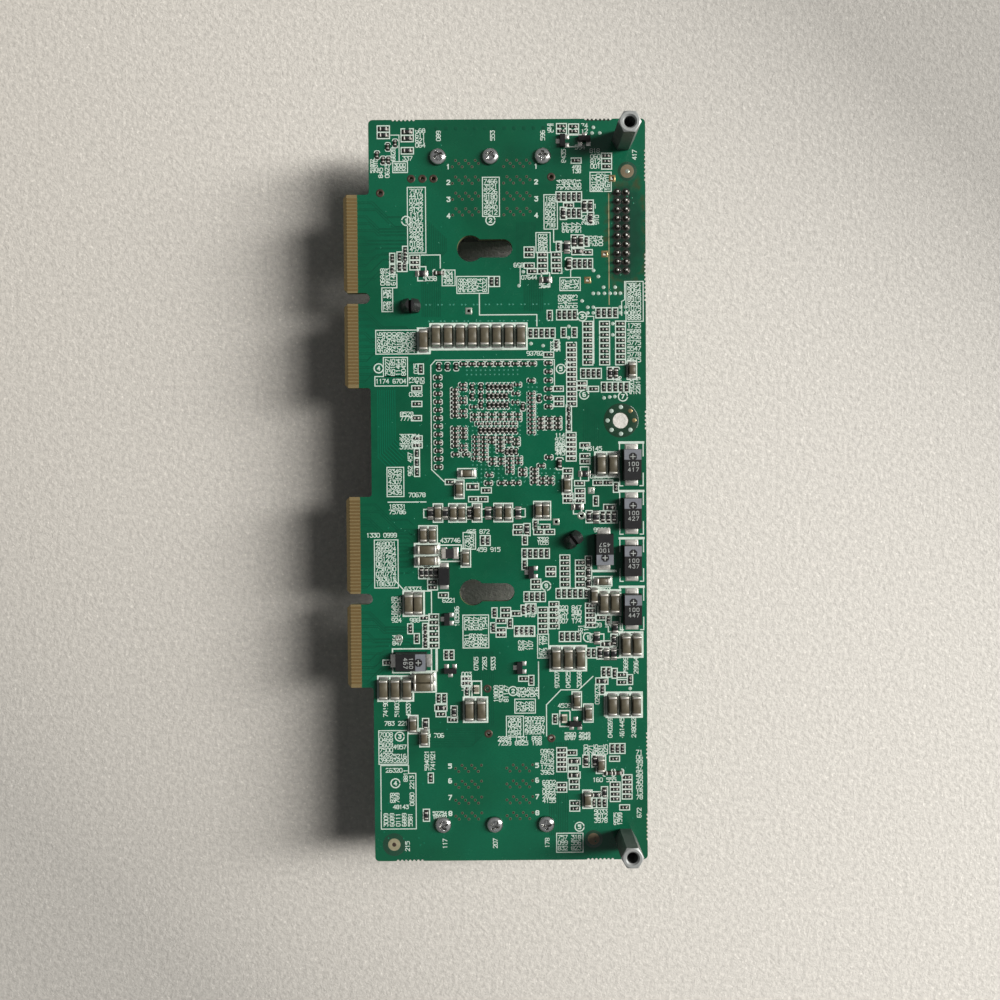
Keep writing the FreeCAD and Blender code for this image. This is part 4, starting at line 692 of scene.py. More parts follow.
@dataclass
class Lines:
    """Strokes on a flat face, kept as start, end and width, in millimetres."""

    strokes: list[Array] = field(default_factory=list)
    stagger_mm: float = 0.0004

    def path(self, points: Array, width: float) -> None:
        """Draw through points with a stroke of the given width."""
        points = np.asarray(points, float)
        widths = np.full((len(points) - 1, 1), width)
        self.strokes.append(np.hstack([points[:-1], points[1:], widths]))

    def frame(self, x0: float, x1: float, y0: float, y1: float, width: float = 0.24) -> None:
        """Draw a rectangle."""
        self.path([(x0, y0), (x1, y0), (x1, y1), (x0, y1), (x0, y0)], width)

    def turned(self, turn: Array, middle: Array) -> list[Array]:
        """Return the strokes turned by a matrix and then moved to a middle."""
        return [np.hstack([part[:, :2] @ turn + middle, part[:, 2:4] @ turn + middle, part[:, 4:]])
                for part in self.strokes]

    def bundle(self, count: int, width: float, *points: tuple[float, ...]) -> None:
        """Draw strokes side by side.

        Args:
            count: how many there are.
            width: each one's width.
            points: X and Y on the first stroke, then the step to the same point of the next.
        """
        table = np.array(points)
        for index in range(count):
            self.path(table[:, :2] + index * table[:, 2:], width)

    def arc(self, x: float, y: float, radius: float, start: float = 0.0, sweep: float = 360.0,
            width: float = 0.24, steps: int = 20) -> None:
        """Draw an arc from a start angle through a sweep, in degrees."""
        turn = np.radians(start + sweep * np.linspace(0.0, 1.0, steps))
        self.path(np.stack([x + radius * np.cos(turn), y + radius * np.sin(turn)], 1), width)

    def text(self, figures: str, x: float, y: float, height: float = 1.05,
             upright: bool = False, width: float = 0.17, pitch: float = FIGURE_STEP) -> None:
        """Write figures from a lower left corner.

        Args:
            figures: the figures to write; a space leaves a gap.
            x: the corner's place.
            y: the corner's place.
            height: the figures' height.
            upright: whether the line runs up instead of right.
            width: the strokes' width.
            pitch: the step from figure to figure, in heights.
        """
        for index, figure in enumerate(figures):
            if figure not in DIGITS:
                continue
            grid = np.array([(int(pair[0]), int(pair[1])) for pair in DIGITS[figure].split()])
            shape = grid * height / 6.0 + (index * height * pitch, 0.0)
            if upright:
                shape = np.stack([-shape[:, 1], shape[:, 0]], 1)
            self.path(shape + (x, y), width)

    def quads(self, height: float) -> tuple[Array, Array]:
        """Return the strokes as flat quads, nine levels in turn a hair apart.

        Each stroke from a to b of width w has corners a - d w/2 -+ n w/2 and
        b + d w/2 +- n w/2, where d runs along it and n across it.

        Args:
            height: the Z of the face, in metres.

        Returns:
            Vertices and quads.
        """
        table = np.concatenate(self.strokes)
        start, end, half = table[:, :2], table[:, 2:4], table[:, 4:5] / 2.0
        run = end - start
        run = run / np.maximum(np.linalg.norm(run, axis=1, keepdims=True), 1e-9) * half
        side = np.stack([-run[:, 1], run[:, 0]], 1)
        corners = np.stack([start - run - side, end + run - side, end + run + side,
                            start - run + side], 1) * MM
        level = height + np.arange(len(table)) % 9 * self.stagger_mm * MM
        flat = np.dstack([corners, np.broadcast_to(level[:, None], corners.shape[:2])])
        return flat, np.arange(len(table) * 4).reshape(-1, 4)


@dataclass(frozen=True)
class Block:
    """A field of printed figures, framed or bare, in millimetres."""

    x0: float
    x1: float
    y0: float
    y1: float
    framed: bool = True
    upright: bool = False
    line: float = 1.13
    margin: float = 0.32
    tallest: float = 0.92
    fill: float = 0.86
    word: float = 4.6

    def draw(self, lines: Lines, seed: int) -> None:
        """Fill the block with rows of figures.

        Args:
            lines: what the strokes are added to.
            seed: varies the figures from block to block.
        """
        if self.framed:
            lines.frame(self.x0, self.x1, self.y0, self.y1, 0.22)
        margin = self.margin if self.framed else 0.0
        sides = (self.x1 - self.x0, self.y1 - self.y0)
        run, stack = (side - 2 * margin for side in (sides[::-1] if self.upright else sides))
        rows = max(1, round(stack / self.line))
        step = stack / rows
        height = min(self.tallest, step * self.fill)
        pitch = height * FIGURE_STEP
        places = max(1, int((run + 0.2) / pitch))
        words = max(1, round(places / self.word))
        rng = np.random.default_rng(seed)
        for row in range(rows):
            cells = rng.integers(0, 10, places).astype(str)
            cells[places // words::max(1, places // words + 1)] = " " if words > 1 else "0"
            along = margin + (run - places * pitch) / 2
            across = margin + row * step + (step - height) / 2
            corner = ((self.x0 + across + height, self.y0 + along) if self.upright
                      else (self.x0 + along, self.y0 + across))
            lines.text("".join(cells), *corner, height, self.upright)


FRAMED_BLOCKS = [
    # x0, x1, y0, y1, whether upright and the line's height where it isn't the usual one
    (-23.4, -20.0, 74.2, 76.7), (-20.1, -15.9, 55.7, 70.8), (-2.7, 1.2, 64.0, 73.0),
    (22.2, 27.1, 69.6, 74.0, True), (11.5, 14.6, 61.0, 68.9), (9.6, 12.9, 55.6, 60.2),
    (-12.2, -9.2, 48.1, 51.7), (-8.8, -1.5, 46.3, 50.2, True), (-26.2, -23.7, 42.2, 47.7, True),
    (-27.7, -18.0, 32.4, 37.9, True), (-26.0, -20.4, 27.2, 31.6, True), (-28.0, -20.4, 25.0, 27.2),
    (15.1, 19.8, 46.8, 49.8, True), (30.4, 34.4, 39.6, 48.8), (-28.5, -23.0, -22.0, -10.8),
    (9.4, 12.0, -38.7, -33.1, True), (2.0, 6.0, -57.2, -52.3), (-8.0, -2.0, -36.2, -28.5, True),
    (13.6, 19.8, -84.5, -80.0), (-25.4, -21.5, -0.7, 6.1), (4.0, 8.8, -33.6, -31.2),
    (4.0, 8.8, -51.6, -48.3, True), (-7.8, -4.9, -13.1, -9.2, True),
]
BARE_BLOCKS = [
    (-18.2, -15.6, 79.9, 84.3), (-21.2, -18.6, 76.9, 78.0), (-28.6, -26.9, 74.2, 77.4, True),
    (-26.8, -25.6, 72.9, 75.6, True), (-25.3, -24.1, 72.9, 77.2, True),
    (-23.9, -22.7, 77.0, 80.0, True), (12.2, 14.2, 83.2, 85.2), (20.0, 22.1, 82.9, 85.3),
    (18.6, 21.4, 79.2, 80.4), (22.0, 24.8, 78.3, 79.6), (15.5, 16.7, 76.2, 79.6, True),
    (22.3, 24.8, 74.8, 78.2), (17.9, 20.4, 73.8, 75.7), (14.4, 20.2, 70.2, 72.4, True),
    (22.9, 24.0, 65.4, 67.0), (20.2, 24.2, 61.9, 64.4, True), (15.6, 20.1, 60.2, 62.6, True),
    (21.6, 25.2, 57.0, 59.6, True), (4.3, 7.0, 52.2, 53.3), (6.2, 9.9, 49.4, 50.4),
    (10.2, 12.9, 47.4, 48.5), (14.6, 19.2, 42.8, 45.9, True),
    (30.7, 34.0, 30.0, 39.3, False, 1.27), (31.0, 33.8, 22.8, 26.8, True),
    (-19.0, -17.9, 27.8, 30.3, True), (-20.2, -16.4, 25.6, 27.0, True), (-20.3, -16.6, 22.4, 23.6),
    (-22.3, -18.9, 16.9, 19.0), (-22.3, -17.6, 10.2, 13.9), (-20.6, -19.4, 4.0, 9.8, True),
    (-20.4, -16.3, -0.9, 0.2), (12.7, 15.2, 32.6, 35.4, True), (7.4, 11.2, 31.8, 32.9),
    (16.0, 18.0, 28.6, 31.0), (-26.6, -22.9, 48.4, 52.2, True), (-16.6, -13.2, 49.2, 50.3),
    (-24.9, -21.0, -4.9, -2.4), (-30.2, -23.2, -10.4, -9.0), (-13.0, -8.4, -11.6, -10.4),
    (-7.2, -1.4, -9.6, -8.4), (-4.6, 1.0, -13.8, -12.6), (-17.7, -16.5, -18.0, -13.0, True),
    (9.6, 12.2, -12.2, -10.4), (22.8, 26.6, -9.4, -8.2), (20.0, 24.8, 9.6, 10.7),
    (13.6, 16.4, 8.6, 13.8), (21.8, 26.8, 3.2, 4.3), (-21.6, -17.4, -22.9, -21.7),
    (-24.6, -22.2, -30.2, -24.0), (-20.4, -17.9, -30.4, -28.8), (-24.6, -21.9, -35.6, -33.0),
    (-10.2, -8.6, -31.0, -26.4, True), (-12.9, -9.3, -25.6, -24.4), (-8.4, -5.9, -46.2, -41.8),
    (-6.0, 0.0, -41.6, -38.0, True, 2.0), (-27.6, -19.6, -52.2, -48.2, True, 2.7),
    (-1.0, 2.6, -48.8, -45.0, True), (12.6, 20.4, -45.8, -41.6, True, 2.7),
    (24.9, 33.2, -57.4, -52.8, True, 2.8), (28.8, 33.6, -42.4, -38.6, True, 2.4),
    (22.9, 26.8, -23.2, -22.2), (27.6, 33.8, -33.9, -32.8), (22.2, 27.6, -31.6, -30.5),
    (18.8, 21.4, -33.4, -30.6, True), (13.4, 20.0, -30.6, -26.4), (6.4, 9.0, -29.0, -25.8, True),
    (4.8, 8.4, -37.0, -34.2, True), (15.0, 18.8, -38.4, -37.2), (0.0, 10.4, -59.2, -57.0),
    (4.4, 9.6, -48.0, -45.2, True), (6.4, 11.0, -56.6, -52.4), (22.6, 24.0, -49.8, -44.6, True),
    (14.2, 18.0, -50.6, -49.2), (15.8, 21.6, -58.0, -56.2), (22.2, 27.8, -68.0, -66.9),
    (22.4, 25.8, -77.6, -74.4), (27.0, 29.0, -78.0, -75.2, True), (32.2, 34.2, -72.2, -60.4),
    (9.8, 13.4, -66.2, -60.0), (10.4, 13.6, -72.8, -67.4), (20.0, 25.8, -61.6, -58.8, True),
    (-26.4, -21.0, -54.4, -53.2), (-18.0, -12.6, -57.4, -56.0), (-17.4, -14.6, -64.8, -60.2, True),
    (-15.4, -12.0, -76.4, -74.6), (-13.4, -12.2, 81.5, 83.8, True), (-0.9, 0.3, 81.5, 83.8, True),
    (10.7, 11.9, 81.5, 83.8, True), (31.9, 33.1, 76.9, 79.2, True),
    (-13.2, -12.0, -83.3, -81.0, True), (-1.4, -0.2, -83.3, -81.0, True),
    (10.8, 12.0, -83.3, -81.0, True), (32.4, 33.6, -76.6, -73.8, True),
    (-22.0, -20.8, -84.0, -81.4, True), (27.2, 29.4, 25.9, 26.9), (-27.6, -24.6, -63.1, -55.8),
    (-24.4, -21.4, -59.9, -58.8), (-24.4, -21.4, -63.1, -61.0), (-26.2, -22.4, -65.4, -64.3),
    (-22.2, -21.2, -67.6, -64.4, True), (-20.9, -19.6, -73.2, -66.0, True),
    (-25.4, -23.2, -72.6, -69.9, True), (-24.6, -21.0, -74.0, -73.0),
    (-27.1, -20.0, -78.3, -74.6, True, 1.4),
]


OUTLINES = [
    # width and points
    (0.22, (-12.1, 2.7), (-15.0, 5.5), (-15.0, 29.7), (-13.9, 30.9), (13.7, 30.9), (13.7, 25.0)),
    (0.2, (-23.8, 82.8), (-21.9, 82.8), (-21.9, 76.7)),
    (0.24, (-3.6, 46.3), (-3.6, 41.3), (9.7, 41.3), (9.7, 38.7)),
    (0.24, (-22.7, 50.8), (-22.7, 47.7), (-23.7, 47.7)),
    (0.24, (-17.0, 55.2), (-12.6, 55.2), (-12.6, 52.2)),
    (0.24, (13.7, 61.0), (13.7, 58.0), (15.6, 58.0)),
    (0.22, (20.2, 40.8), (22.9, 40.8), (22.9, 30.0)),
    (0.22, (30.1, 48.8), (30.1, 44.6), (29.4, 44.2), (29.4, 41.0)),
    (0.2, (5.9, 53.0), (5.9, 48.4)), (0.22, (17.6, 51.4), (17.6, 49.8)),
    (0.24, (-25.2, -2.0), (-16.4, -2.0)), (0.24, (9.6, -39.6), (9.6, -48.2)),
    (0.24, (22.3, -43.1), (19.0, -46.2), (14.8, -46.2), (11.4, -49.7), (11.4, -57.0)),
    (0.24, (-24.0, -20.0), (-21.5, -22.8), (-15.3, -22.8), (-15.3, -28.0)),
    (0.22, (-27.9, -63.4), (-27.9, -55.5), (-21.1, -55.5), (-21.1, -63.4), (-27.9, -63.4)),
    (0.22, (-27.5, -63.7), (-21.0, -63.7), (-21.0, -65.6), (-19.3, -65.6), (-19.3, -78.7),
     (-27.5, -78.7), (-27.5, -63.7)),
]
PART_FRAMES = [
    (-13.5, -8.2, -15.9, -12.1), (-6.0, -3.8, -47.7, -44.0), (14.5, 16.9, -54.8, -51.1),
    (-17.8, -15.1, 32.6, 38.2), (-15.1, 7.4, 33.3, 39.1), (-24.5, -15.4, -41.9, -36.3),
    (25.0, 33.4, -52.4, -47.1), (28.6, 33.8, -38.2, -33.1), (12.4, 20.7, -41.2, -35.9),
    (16.3, 20.2, 79.9, 82.6),
]


@dataclass
class Legend:
    """The printed legend: cells round chips, outlines, rings and fields of figures."""

    height: float
    lines: Lines = field(default_factory=Lines)
    stained: Lines = field(default_factory=Lines)

    def chips(self, node: str) -> Array:
        """Return each chip's middle and half sizes, X and Y of each, in millimetres."""
        middle, half = middles(*solid_boxes(node))
        return np.hstack([middle[:, :2], half[:, :2]]) / MM

    def cells(self, node: str, reach: float, side: float, width: float) -> None:
        """Draw a cell round each chip of a node.

        Args:
            node: the chips' node.
            reach: how far a cell passes a chip's ends.
            side: how far it passes a chip's sides.
            width: the strokes' width.
        """
        for x, y, a, b in self.chips(node):
            a, b = (a + reach, b + side) if a > b else (a + side, b + reach)
            self.lines.frame(x - a, x + a, y - b, y + b, width)

    def brackets(self, node: str, reach: float, side: float, width: float) -> None:
        """Draw a rounded bracket at each end of each chip of a node.

        Args:
            node: the chips' node.
            reach: how far a bracket stands off a chip's end.
            side: how far it passes a chip's sides.
            width: the strokes' width.
        """
        for x, y, a, b in self.chips(node):
            long, wide = max(a, b) + reach, min(a, b) + side
            half = np.array([(long - 0.42, wide), (long - 0.12, wide - 0.1), (long, wide - 0.32)])
            bow = np.vstack([half, half[::-1] * (1.0, -1.0)])
            for sign in (-1.0, 1.0):
                ends = bow * (sign, 1.0)
                self.lines.path((ends if a > b else ends[:, ::-1]) + (x, y), width)

    def outlines(self) -> None:
        """Draw the outlines of the larger parts and the lines that join fields."""
        lines = self.lines
        for width, *points in OUTLINES:
            lines.path(points, width)
        self.stained.path([(26.5, 69.0), (26.5, 43.5)], 0.22)
        for box in PART_FRAMES:
            lines.frame(*box, 0.3)
        middle, reach = 31.5, 2.75
        for y in (6.35, -4.95, -15.95, -27.3):
            for side in (-1, 1):
                x = middle + side * reach
                lines.path([(middle + side * 2.0, y - 4.9), (x, y - 4.9), (x, y - 2.0)], 0.24)
                lines.path([(x, y + 2.0), (x, y + 5.1)], 0.24)
            lines.path([(middle - reach, y + 5.15), (middle + reach, y + 5.15)], 0.55)
        lines.path([(22.3, -18.4), (27.7, -18.4)], 0.55)
        lines.path([(-14.2, -41.4), (-14.2, -36.6)], 0.55)

    def rings(self) -> None:
        """Draw the numbered rings and the marks beside the receptacles' rows."""
        places = [(-20.4, 63.1), (-0.9, 63.1), (20.2, 40.8), (-27.1, 29.1), (15.2, 28.7),
                  (20.6, 22.7), (29.6, 22.2), (15.2, 10.3), (11.5, -21.8), (21.2, -33.9),
                  (3.6, -46.4), (-23.0, -56.9), (-24.1, -67.9), (19.0, -78.5)]
        self.lines.arc(29.1, 16.65, 4.05, -25.0, 80.0, 0.06)
        for number, (x, y) in enumerate(places):
            self.lines.arc(x, y, 1.05, width=0.26)
            self.lines.text(str(number % 9 + 1), x - 0.28, y - 0.42, 0.85, width=0.24)
        for row, (upper, lower) in enumerate(zip((75.4, 71.8, 67.9, 64.1),
                                                 (-64.0, -67.5, -71.4, -75.2))):
            for figure, x, y in ((row + 1, -10.9, upper), (row + 1, 9.4, upper),
                                 (row + 5, -11.6, lower), (row + 5, 8.8, lower)):
                self.lines.text(str(figure), x, y - 0.4, 0.95, width=0.26)

    def build(self) -> bpy.types.Object:
        """Draw the whole legend as one thin piece just over the mask."""
        for draw, node, reach, side, width in (
                (self.cells, "small_resistors", 0.66, 0.36, 0.24),
                (self.cells, "medium_resistors", 0.62, 0.34, 0.24),
                (self.brackets, "small_capacitors", 0.52, 0.38, 0.17),
                (self.brackets, "medium_capacitors", 0.6, 0.45, 0.24),
                (self.cells, "large_resistors", 1.0, 0.35, 0.26),
                (self.cells, "large_capacitors", 1.15, 0.35, 0.26),
                (self.cells, "bulk_capacitors", 1.25, 0.42, 0.4)):
            draw(node, reach, side, width)
        self.outlines()
        self.rings()
        places = [(True, place) for place in FRAMED_BLOCKS]
        places += [(False, place) for place in BARE_BLOCKS]
        for seed, (framed, place) in enumerate(places):
            Block(*place[:4], framed, *place[4:]).draw(self.lines, seed)
        surface = Surface("legend_print")
        surface.add(*self.lines.quads(self.height), INK)
        surface.add(*self.stained.quads(self.height), STAINED_INK)
        return surface.piece()


# --- pads, vias and tracks

class Level(Enum):
    """How far each thin layer stands off the board's face, in millimetres."""

    TRACK = 0.004
    POUR = 0.005
    TENTED = 0.006
    WINDOW = 0.009
    PAD = 0.01
    VIA = 0.012
    PRINT = 0.014


@dataclass
class Copper:
    """Pads, plated holes, fiducials and the tracks that show under the mask."""

    top: float
    strewn: int = 260
    track_pitch: float = 1.6
    pair_gap: float = 0.4
    vias_in_row: int = 9
    via_pitch: float = 0.76
    mounting_hole: tuple[float, float] = (29.1, 16.65)
    surface: Surface = field(default_factory=lambda: Surface("pads_and_vias"))

    def discs(self, profile: Array, places: Array, level: Level, steps: int, finish: Finish,
              start: float = 0.0) -> None:
        """Set turned profiles on the board's face, in millimetres.

        Args:
            profile: radius and height of each point, outermost first.
            places: X and Y of each.
            level: the layer they lie in.
            steps: points round each circle.
            finish: what they are finished in.
            start: the angle of the first point, in radians.
        """
        centres = raised(np.asarray(places, float) * MM, self.top + level.value * MM)
        self.surface.revolve(profile, centres, steps, finish, start)

    def receptacle_vias(self) -> Array:
        """Return the cable receptacles' vias, in rows that step over three heights."""
        step = np.arange(self.vias_in_row)
        return np.concatenate([
            np.stack([left + self.via_pitch * step, row - np.array(drops)[step % 3]], 1)
            for rows, lefts, drops in (
                ((76.9, 73.1, 69.4, 65.8), (-9.66, 2.2), (1.45, 0.0, 0.72)),
                ((-63.8, -67.55, -71.3, -75.05), (-10.0, 2.0), (0.72, 1.45, 0.0)))
            for row in rows for left in lefts])

    def field_vias(self) -> Array:
        """Return the small vias between and beside the processor's capacitors."""
        across, along = np.meshgrid(np.arange(-9.0, 15.0), np.arange(2.8, 26.0))
        inner = np.stack([across.ravel() + 0.5, along.ravel() - 0.3], 1)
        x, y = inner[:, 0], inner[:, 1]
        dense = (((x > -6) & (x < 6)) | ((x > 7) & (x < 10) & (y > 13)) |
                 ((x < -6) & (y > 10) & (y < 25) & (np.abs(y - 17) > 1)) | ((y < 6) & (x > 1)))
        rng = np.random.default_rng(4)
        inner = inner[dense & (rng.random(len(inner)) < 0.9)]
        rows = [(np.arange(-6.7, 5.4, 1.07), y) for y in (28.5, 27.5)]
        pairs = np.add.outer(np.arange(-16.0, 12.0, 2.75), (0.0, 0.85)).ravel()
        rows += [(pairs, 43.7), (pairs + 0.6, 39.9)]
        return np.concatenate([inner] + [np.stack([x, np.full_like(x, y)], 1) for x, y in rows])

    def scattered_vias(self) -> Array:
        """Return tented vias strewn over the board, clear of its holes."""
        rng = np.random.default_rng(11)
        places = rng.uniform((-28.0, -84.0), (33.0, 84.0), (self.strewn * 2, 2))
        clear = np.ones(len(places), bool)
        for x, y, reach in ((-3.0, 56.65, 8.0), (-3.0, -23.2, 8.0), (29.1, 16.65, 5.0),
                            (-19.5, 43.4, 3.6), (17.9, -11.0, 3.6), (29.8, 81.3, 4.0),
                            (29.8, -81.3, 4.0), (-1.0, 71.0, 14.0), (-1.0, -69.0, 14.0)):
            clear &= np.hypot(places[:, 0] - x, places[:, 1] - y) > reach
        return places[clear][:self.strewn]

    def pads(self) -> bpy.types.Object:
        """Build every pad and ring as flat or slightly domed discs."""
        vias = self.receptacle_vias()
        dome = np.array([(0.42, 0.0), (0.36, 0.02), (0.2, 0.03), (0.0, 0.035)])
        collar = [(0.95, 0.0), (0.92, 0.025), (0.5, 0.03), (0.45, 0.0)]
        square = [(1.08, 0.0), (1.04, 0.03), (0.6, 0.03), (0.45, 0.0)]
        self.discs([(0.33, 0.0), (0.30, 0.012), (0.23, 0.012), (0.2, 0.0)], vias, Level.PAD, 10,
                   VIA_RING)
        # Painted shade: the inside of each via's hole, drawn as a dark disc.
        self.discs([(0.22, 0.008), (0.0, 0.006)], vias, Level.PAD, 8, DARK_FILL_AND_SHADE)
        self.discs(dome * (0.55, 1.0), self.field_vias(), Level.VIA, 8, TENTED)
        self.discs(dome * (0.55, 0.8), self.scattered_vias(), Level.TENTED, 8, POUR)
        pale = [(6.6, 51.2), (5.6, 48.0), (22.9, 51.4), (24.0, 50.0), (25.2, 47.5), (27.9, 47.5),
                (20.2, 44.4), (17.1, 38.5), (17.0, 35.9), (11.1, 34.1), (8.3, 34.6), (25.2, 21.9),
                (26.5, 22.1), (27.7, 22.2), (27.3, 39.1), (27.3, 36.5), (31.0, -46.0),
                (23.0, 84.3), (22.7, 83.0), (24.5, 83.0)]
        pale += [(x, 46.1) for x in (22.8, 24.0, 25.4, 26.7, 27.9, 29.1)]
        pale += [(x, y) for x in (21.5, 22.8, 29.1, 30.3) for y in (42.9, 41.6)]
        self.discs(dome, pale, Level.VIA, 12, VIA_CAP)
        strip = [(x, 84.25) for x in np.arange(-20.0, 23.0, 2.25)]
        self.discs(dome * (1.2, 0.6), strip, Level.TENTED, 12, TRACK)
        copper = [(-19.2, 72.75), (-16.6, 72.75), (-14.05, 72.75), (-26.4, 69.5), (13.2, 73.0),
                  (-2.4, -45.8), (-2.2, -56.4), (12.5, -57.6)]
        self.discs(collar, copper, Level.PAD, 24, COPPER_RING)
        gilt = [(27.3, 72.6), (25.5, 55.2), (21.5, 49.2)]
        self.discs(square, gilt, Level.PAD, 4, BRASS_PAD, math.pi / 4)
        tinned = [(-6.1, 42.25), (13.9, -6.85), (22.1, 0.4)]
        self.discs(square, tinned, Level.PAD, 4, BARE_PAD, math.pi / 4)
        self.discs(collar, [(19.8, -5.4), (-23.0, -33.9)], Level.PAD, 24, BARE_PAD)
        self.fiducials()
        self.mounting_ring()
        return self.surface.piece(smooth=True)

    def fiducials(self) -> None:
        """Add the aiming marks: a bare opening with a bright dot in a wider halo."""
        for x, y, opening, halo, floor, aim in (
                (30.8, 74.2, 1.55, 2.2, TAN_RING, BARE_PAD),
                (-24.5, -82.4, 1.45, 2.7, PALE_RING, COPPER_RING),
                (22.3, -81.4, 1.4, 2.1, TAN_RING, TAN_RING)):
            wide = [(halo, 0.0), (halo - 0.02, 0.003), (0.0, 0.003)]
            bare = [(opening, 0.004), (opening - 0.1, 0.012), (0.5, 0.01)]
            dot = [(0.5, 0.01), (0.45, 0.04), (0.3, 0.05), (0.0, 0.052)]
            for profile, steps, finish in ((wide, 40, HALO), (bare, 32, floor), (dot, 20, aim)):
                self.discs(profile, [(x, y)], Level.TRACK, steps, finish)

    def mounting_ring(self) -> None:
        """Add the bare ring of the mounting hole with its eight stitching vias."""
        ring = [(4.0, 0.0), (3.95, 0.01), (1.95, 0.01), (1.87, 0.0)]
        self.discs(ring, [self.mounting_hole], Level.TRACK, 48, RING_MASK)
        turn = np.radians(45.0 * np.arange(8))
        around = self.mounting_hole + 3.1 * np.stack([np.cos(turn), np.sin(turn)], 1)
        dome = [(0.5, 0.012), (0.42, 0.04), (0.2, 0.05), (0.0, 0.052)]
        gilt = turn < math.pi / 3.0
        self.discs(dome, around[~gilt], Level.TRACK, 12, VIA_CAP)
        self.discs(dome, around[gilt], Level.TRACK, 12, BRASS_PAD)

    def fans(self, lines: Lines) -> None:
        """Draw the pairs of tracks that run from the card edges' contacts towards a middle."""
        for middle, first, count in ((57.8, 47.9, 13), (34.4, 25.9, 11), (-12.6, -22.0, 13),
                                     (-35.4, -44.0, 11)):
            for pair, side in np.ndindex(count, 2):
                y = first + self.track_pitch * pair + self.pair_gap * side
                pull = (middle - y) * (0.35 + 0.05 * (pair * 5 % 4))
                bend = -30.4 + 0.5 * (pair * 5 % 7) + 0.3 * side
                end, to = bend + abs(pull), y + pull
                far = -20.5 + 1.3 * (pair * 3 % 6) - 0.3 * side
                points = [(-31.6, y), (bend, y), (end, to)]
                if far > end:
                    points += [(max(far, end + 0.4), to),
                               (far + 1.2, to + math.copysign(1.2, pull or 1.0))]
                lines.path(points, 0.17)

    def tracks(self) -> bpy.types.Object:
        """Build the tracks as thin ribbons under the mask, and the torn fibres of a tab."""
        torn, dark, pale = Lines(), Lines(), Lines()
        torn.bundle(6, 0.4, (21.725, 85.95, 0.95, 0.0), (21.725, 86.09, 0.95, 0.0))
        self.fans(dark)
        dark.bundle(11, 0.2, (-15.4, 63.0, 0.42, -0.4), (-15.4, 56.0, 0.42, 0.0),
                    (-16.9, 54.5, 0.42, 0.0), (-16.9, 41.0, 0.42, 0.0))
        dark.bundle(11, 0.2, (5.2, 62.6, 0.42, 0.0), (5.2, 54.0, 0.42, -0.42),
                    (6.8, 52.4, 0.42, -0.42), (6.8, 42.2, 0.42, 0.0))
        dark.bundle(11, 0.2, (-18.5, -55.2, 0.0, -0.42), (-2.0, -55.2, -0.42, -0.42),
                    (-1.0, -54.2, -0.42, -0.42), (-1.0, -37.2, -0.42, 0.0))
        dark.bundle(11, 0.2, (12.0, -80.4, 0.42, 0.0), (12.0, -58.6, 0.42, 0.0))
        dark.bundle(9, 0.18, (-14.2, -9.8, 0.0, -0.46), (-4.0, -9.8, 0.0, -0.46))
        dark.bundle(9, 0.18, (20.4, -8.6, 0.44, 0.0), (20.4, 20.6, 0.44, -0.44))
        pale.bundle(9, 0.2, (-27.4, 24.0, 0.5, 0.0), (-27.4, 8.4, 0.5, 0.5),
                    (-24.4, 5.4, 0.5, 0.5))
        pale.bundle(9, 0.2, (-26.4, -55.0, 0.5, 0.0), (-26.4, -59.6, 0.5, 0.0))
        surface = Surface("tracks")
        for lines, level, finish in ((torn, Level.TRACK, DARK_FILL_AND_SHADE), (dark, Level.TRACK, TRACK),
                                     (pale, Level.POUR, POUR)):
            surface.add(*lines.quads(self.top + level.value * MM), finish)
        return surface.piece()


# --- parts on the board

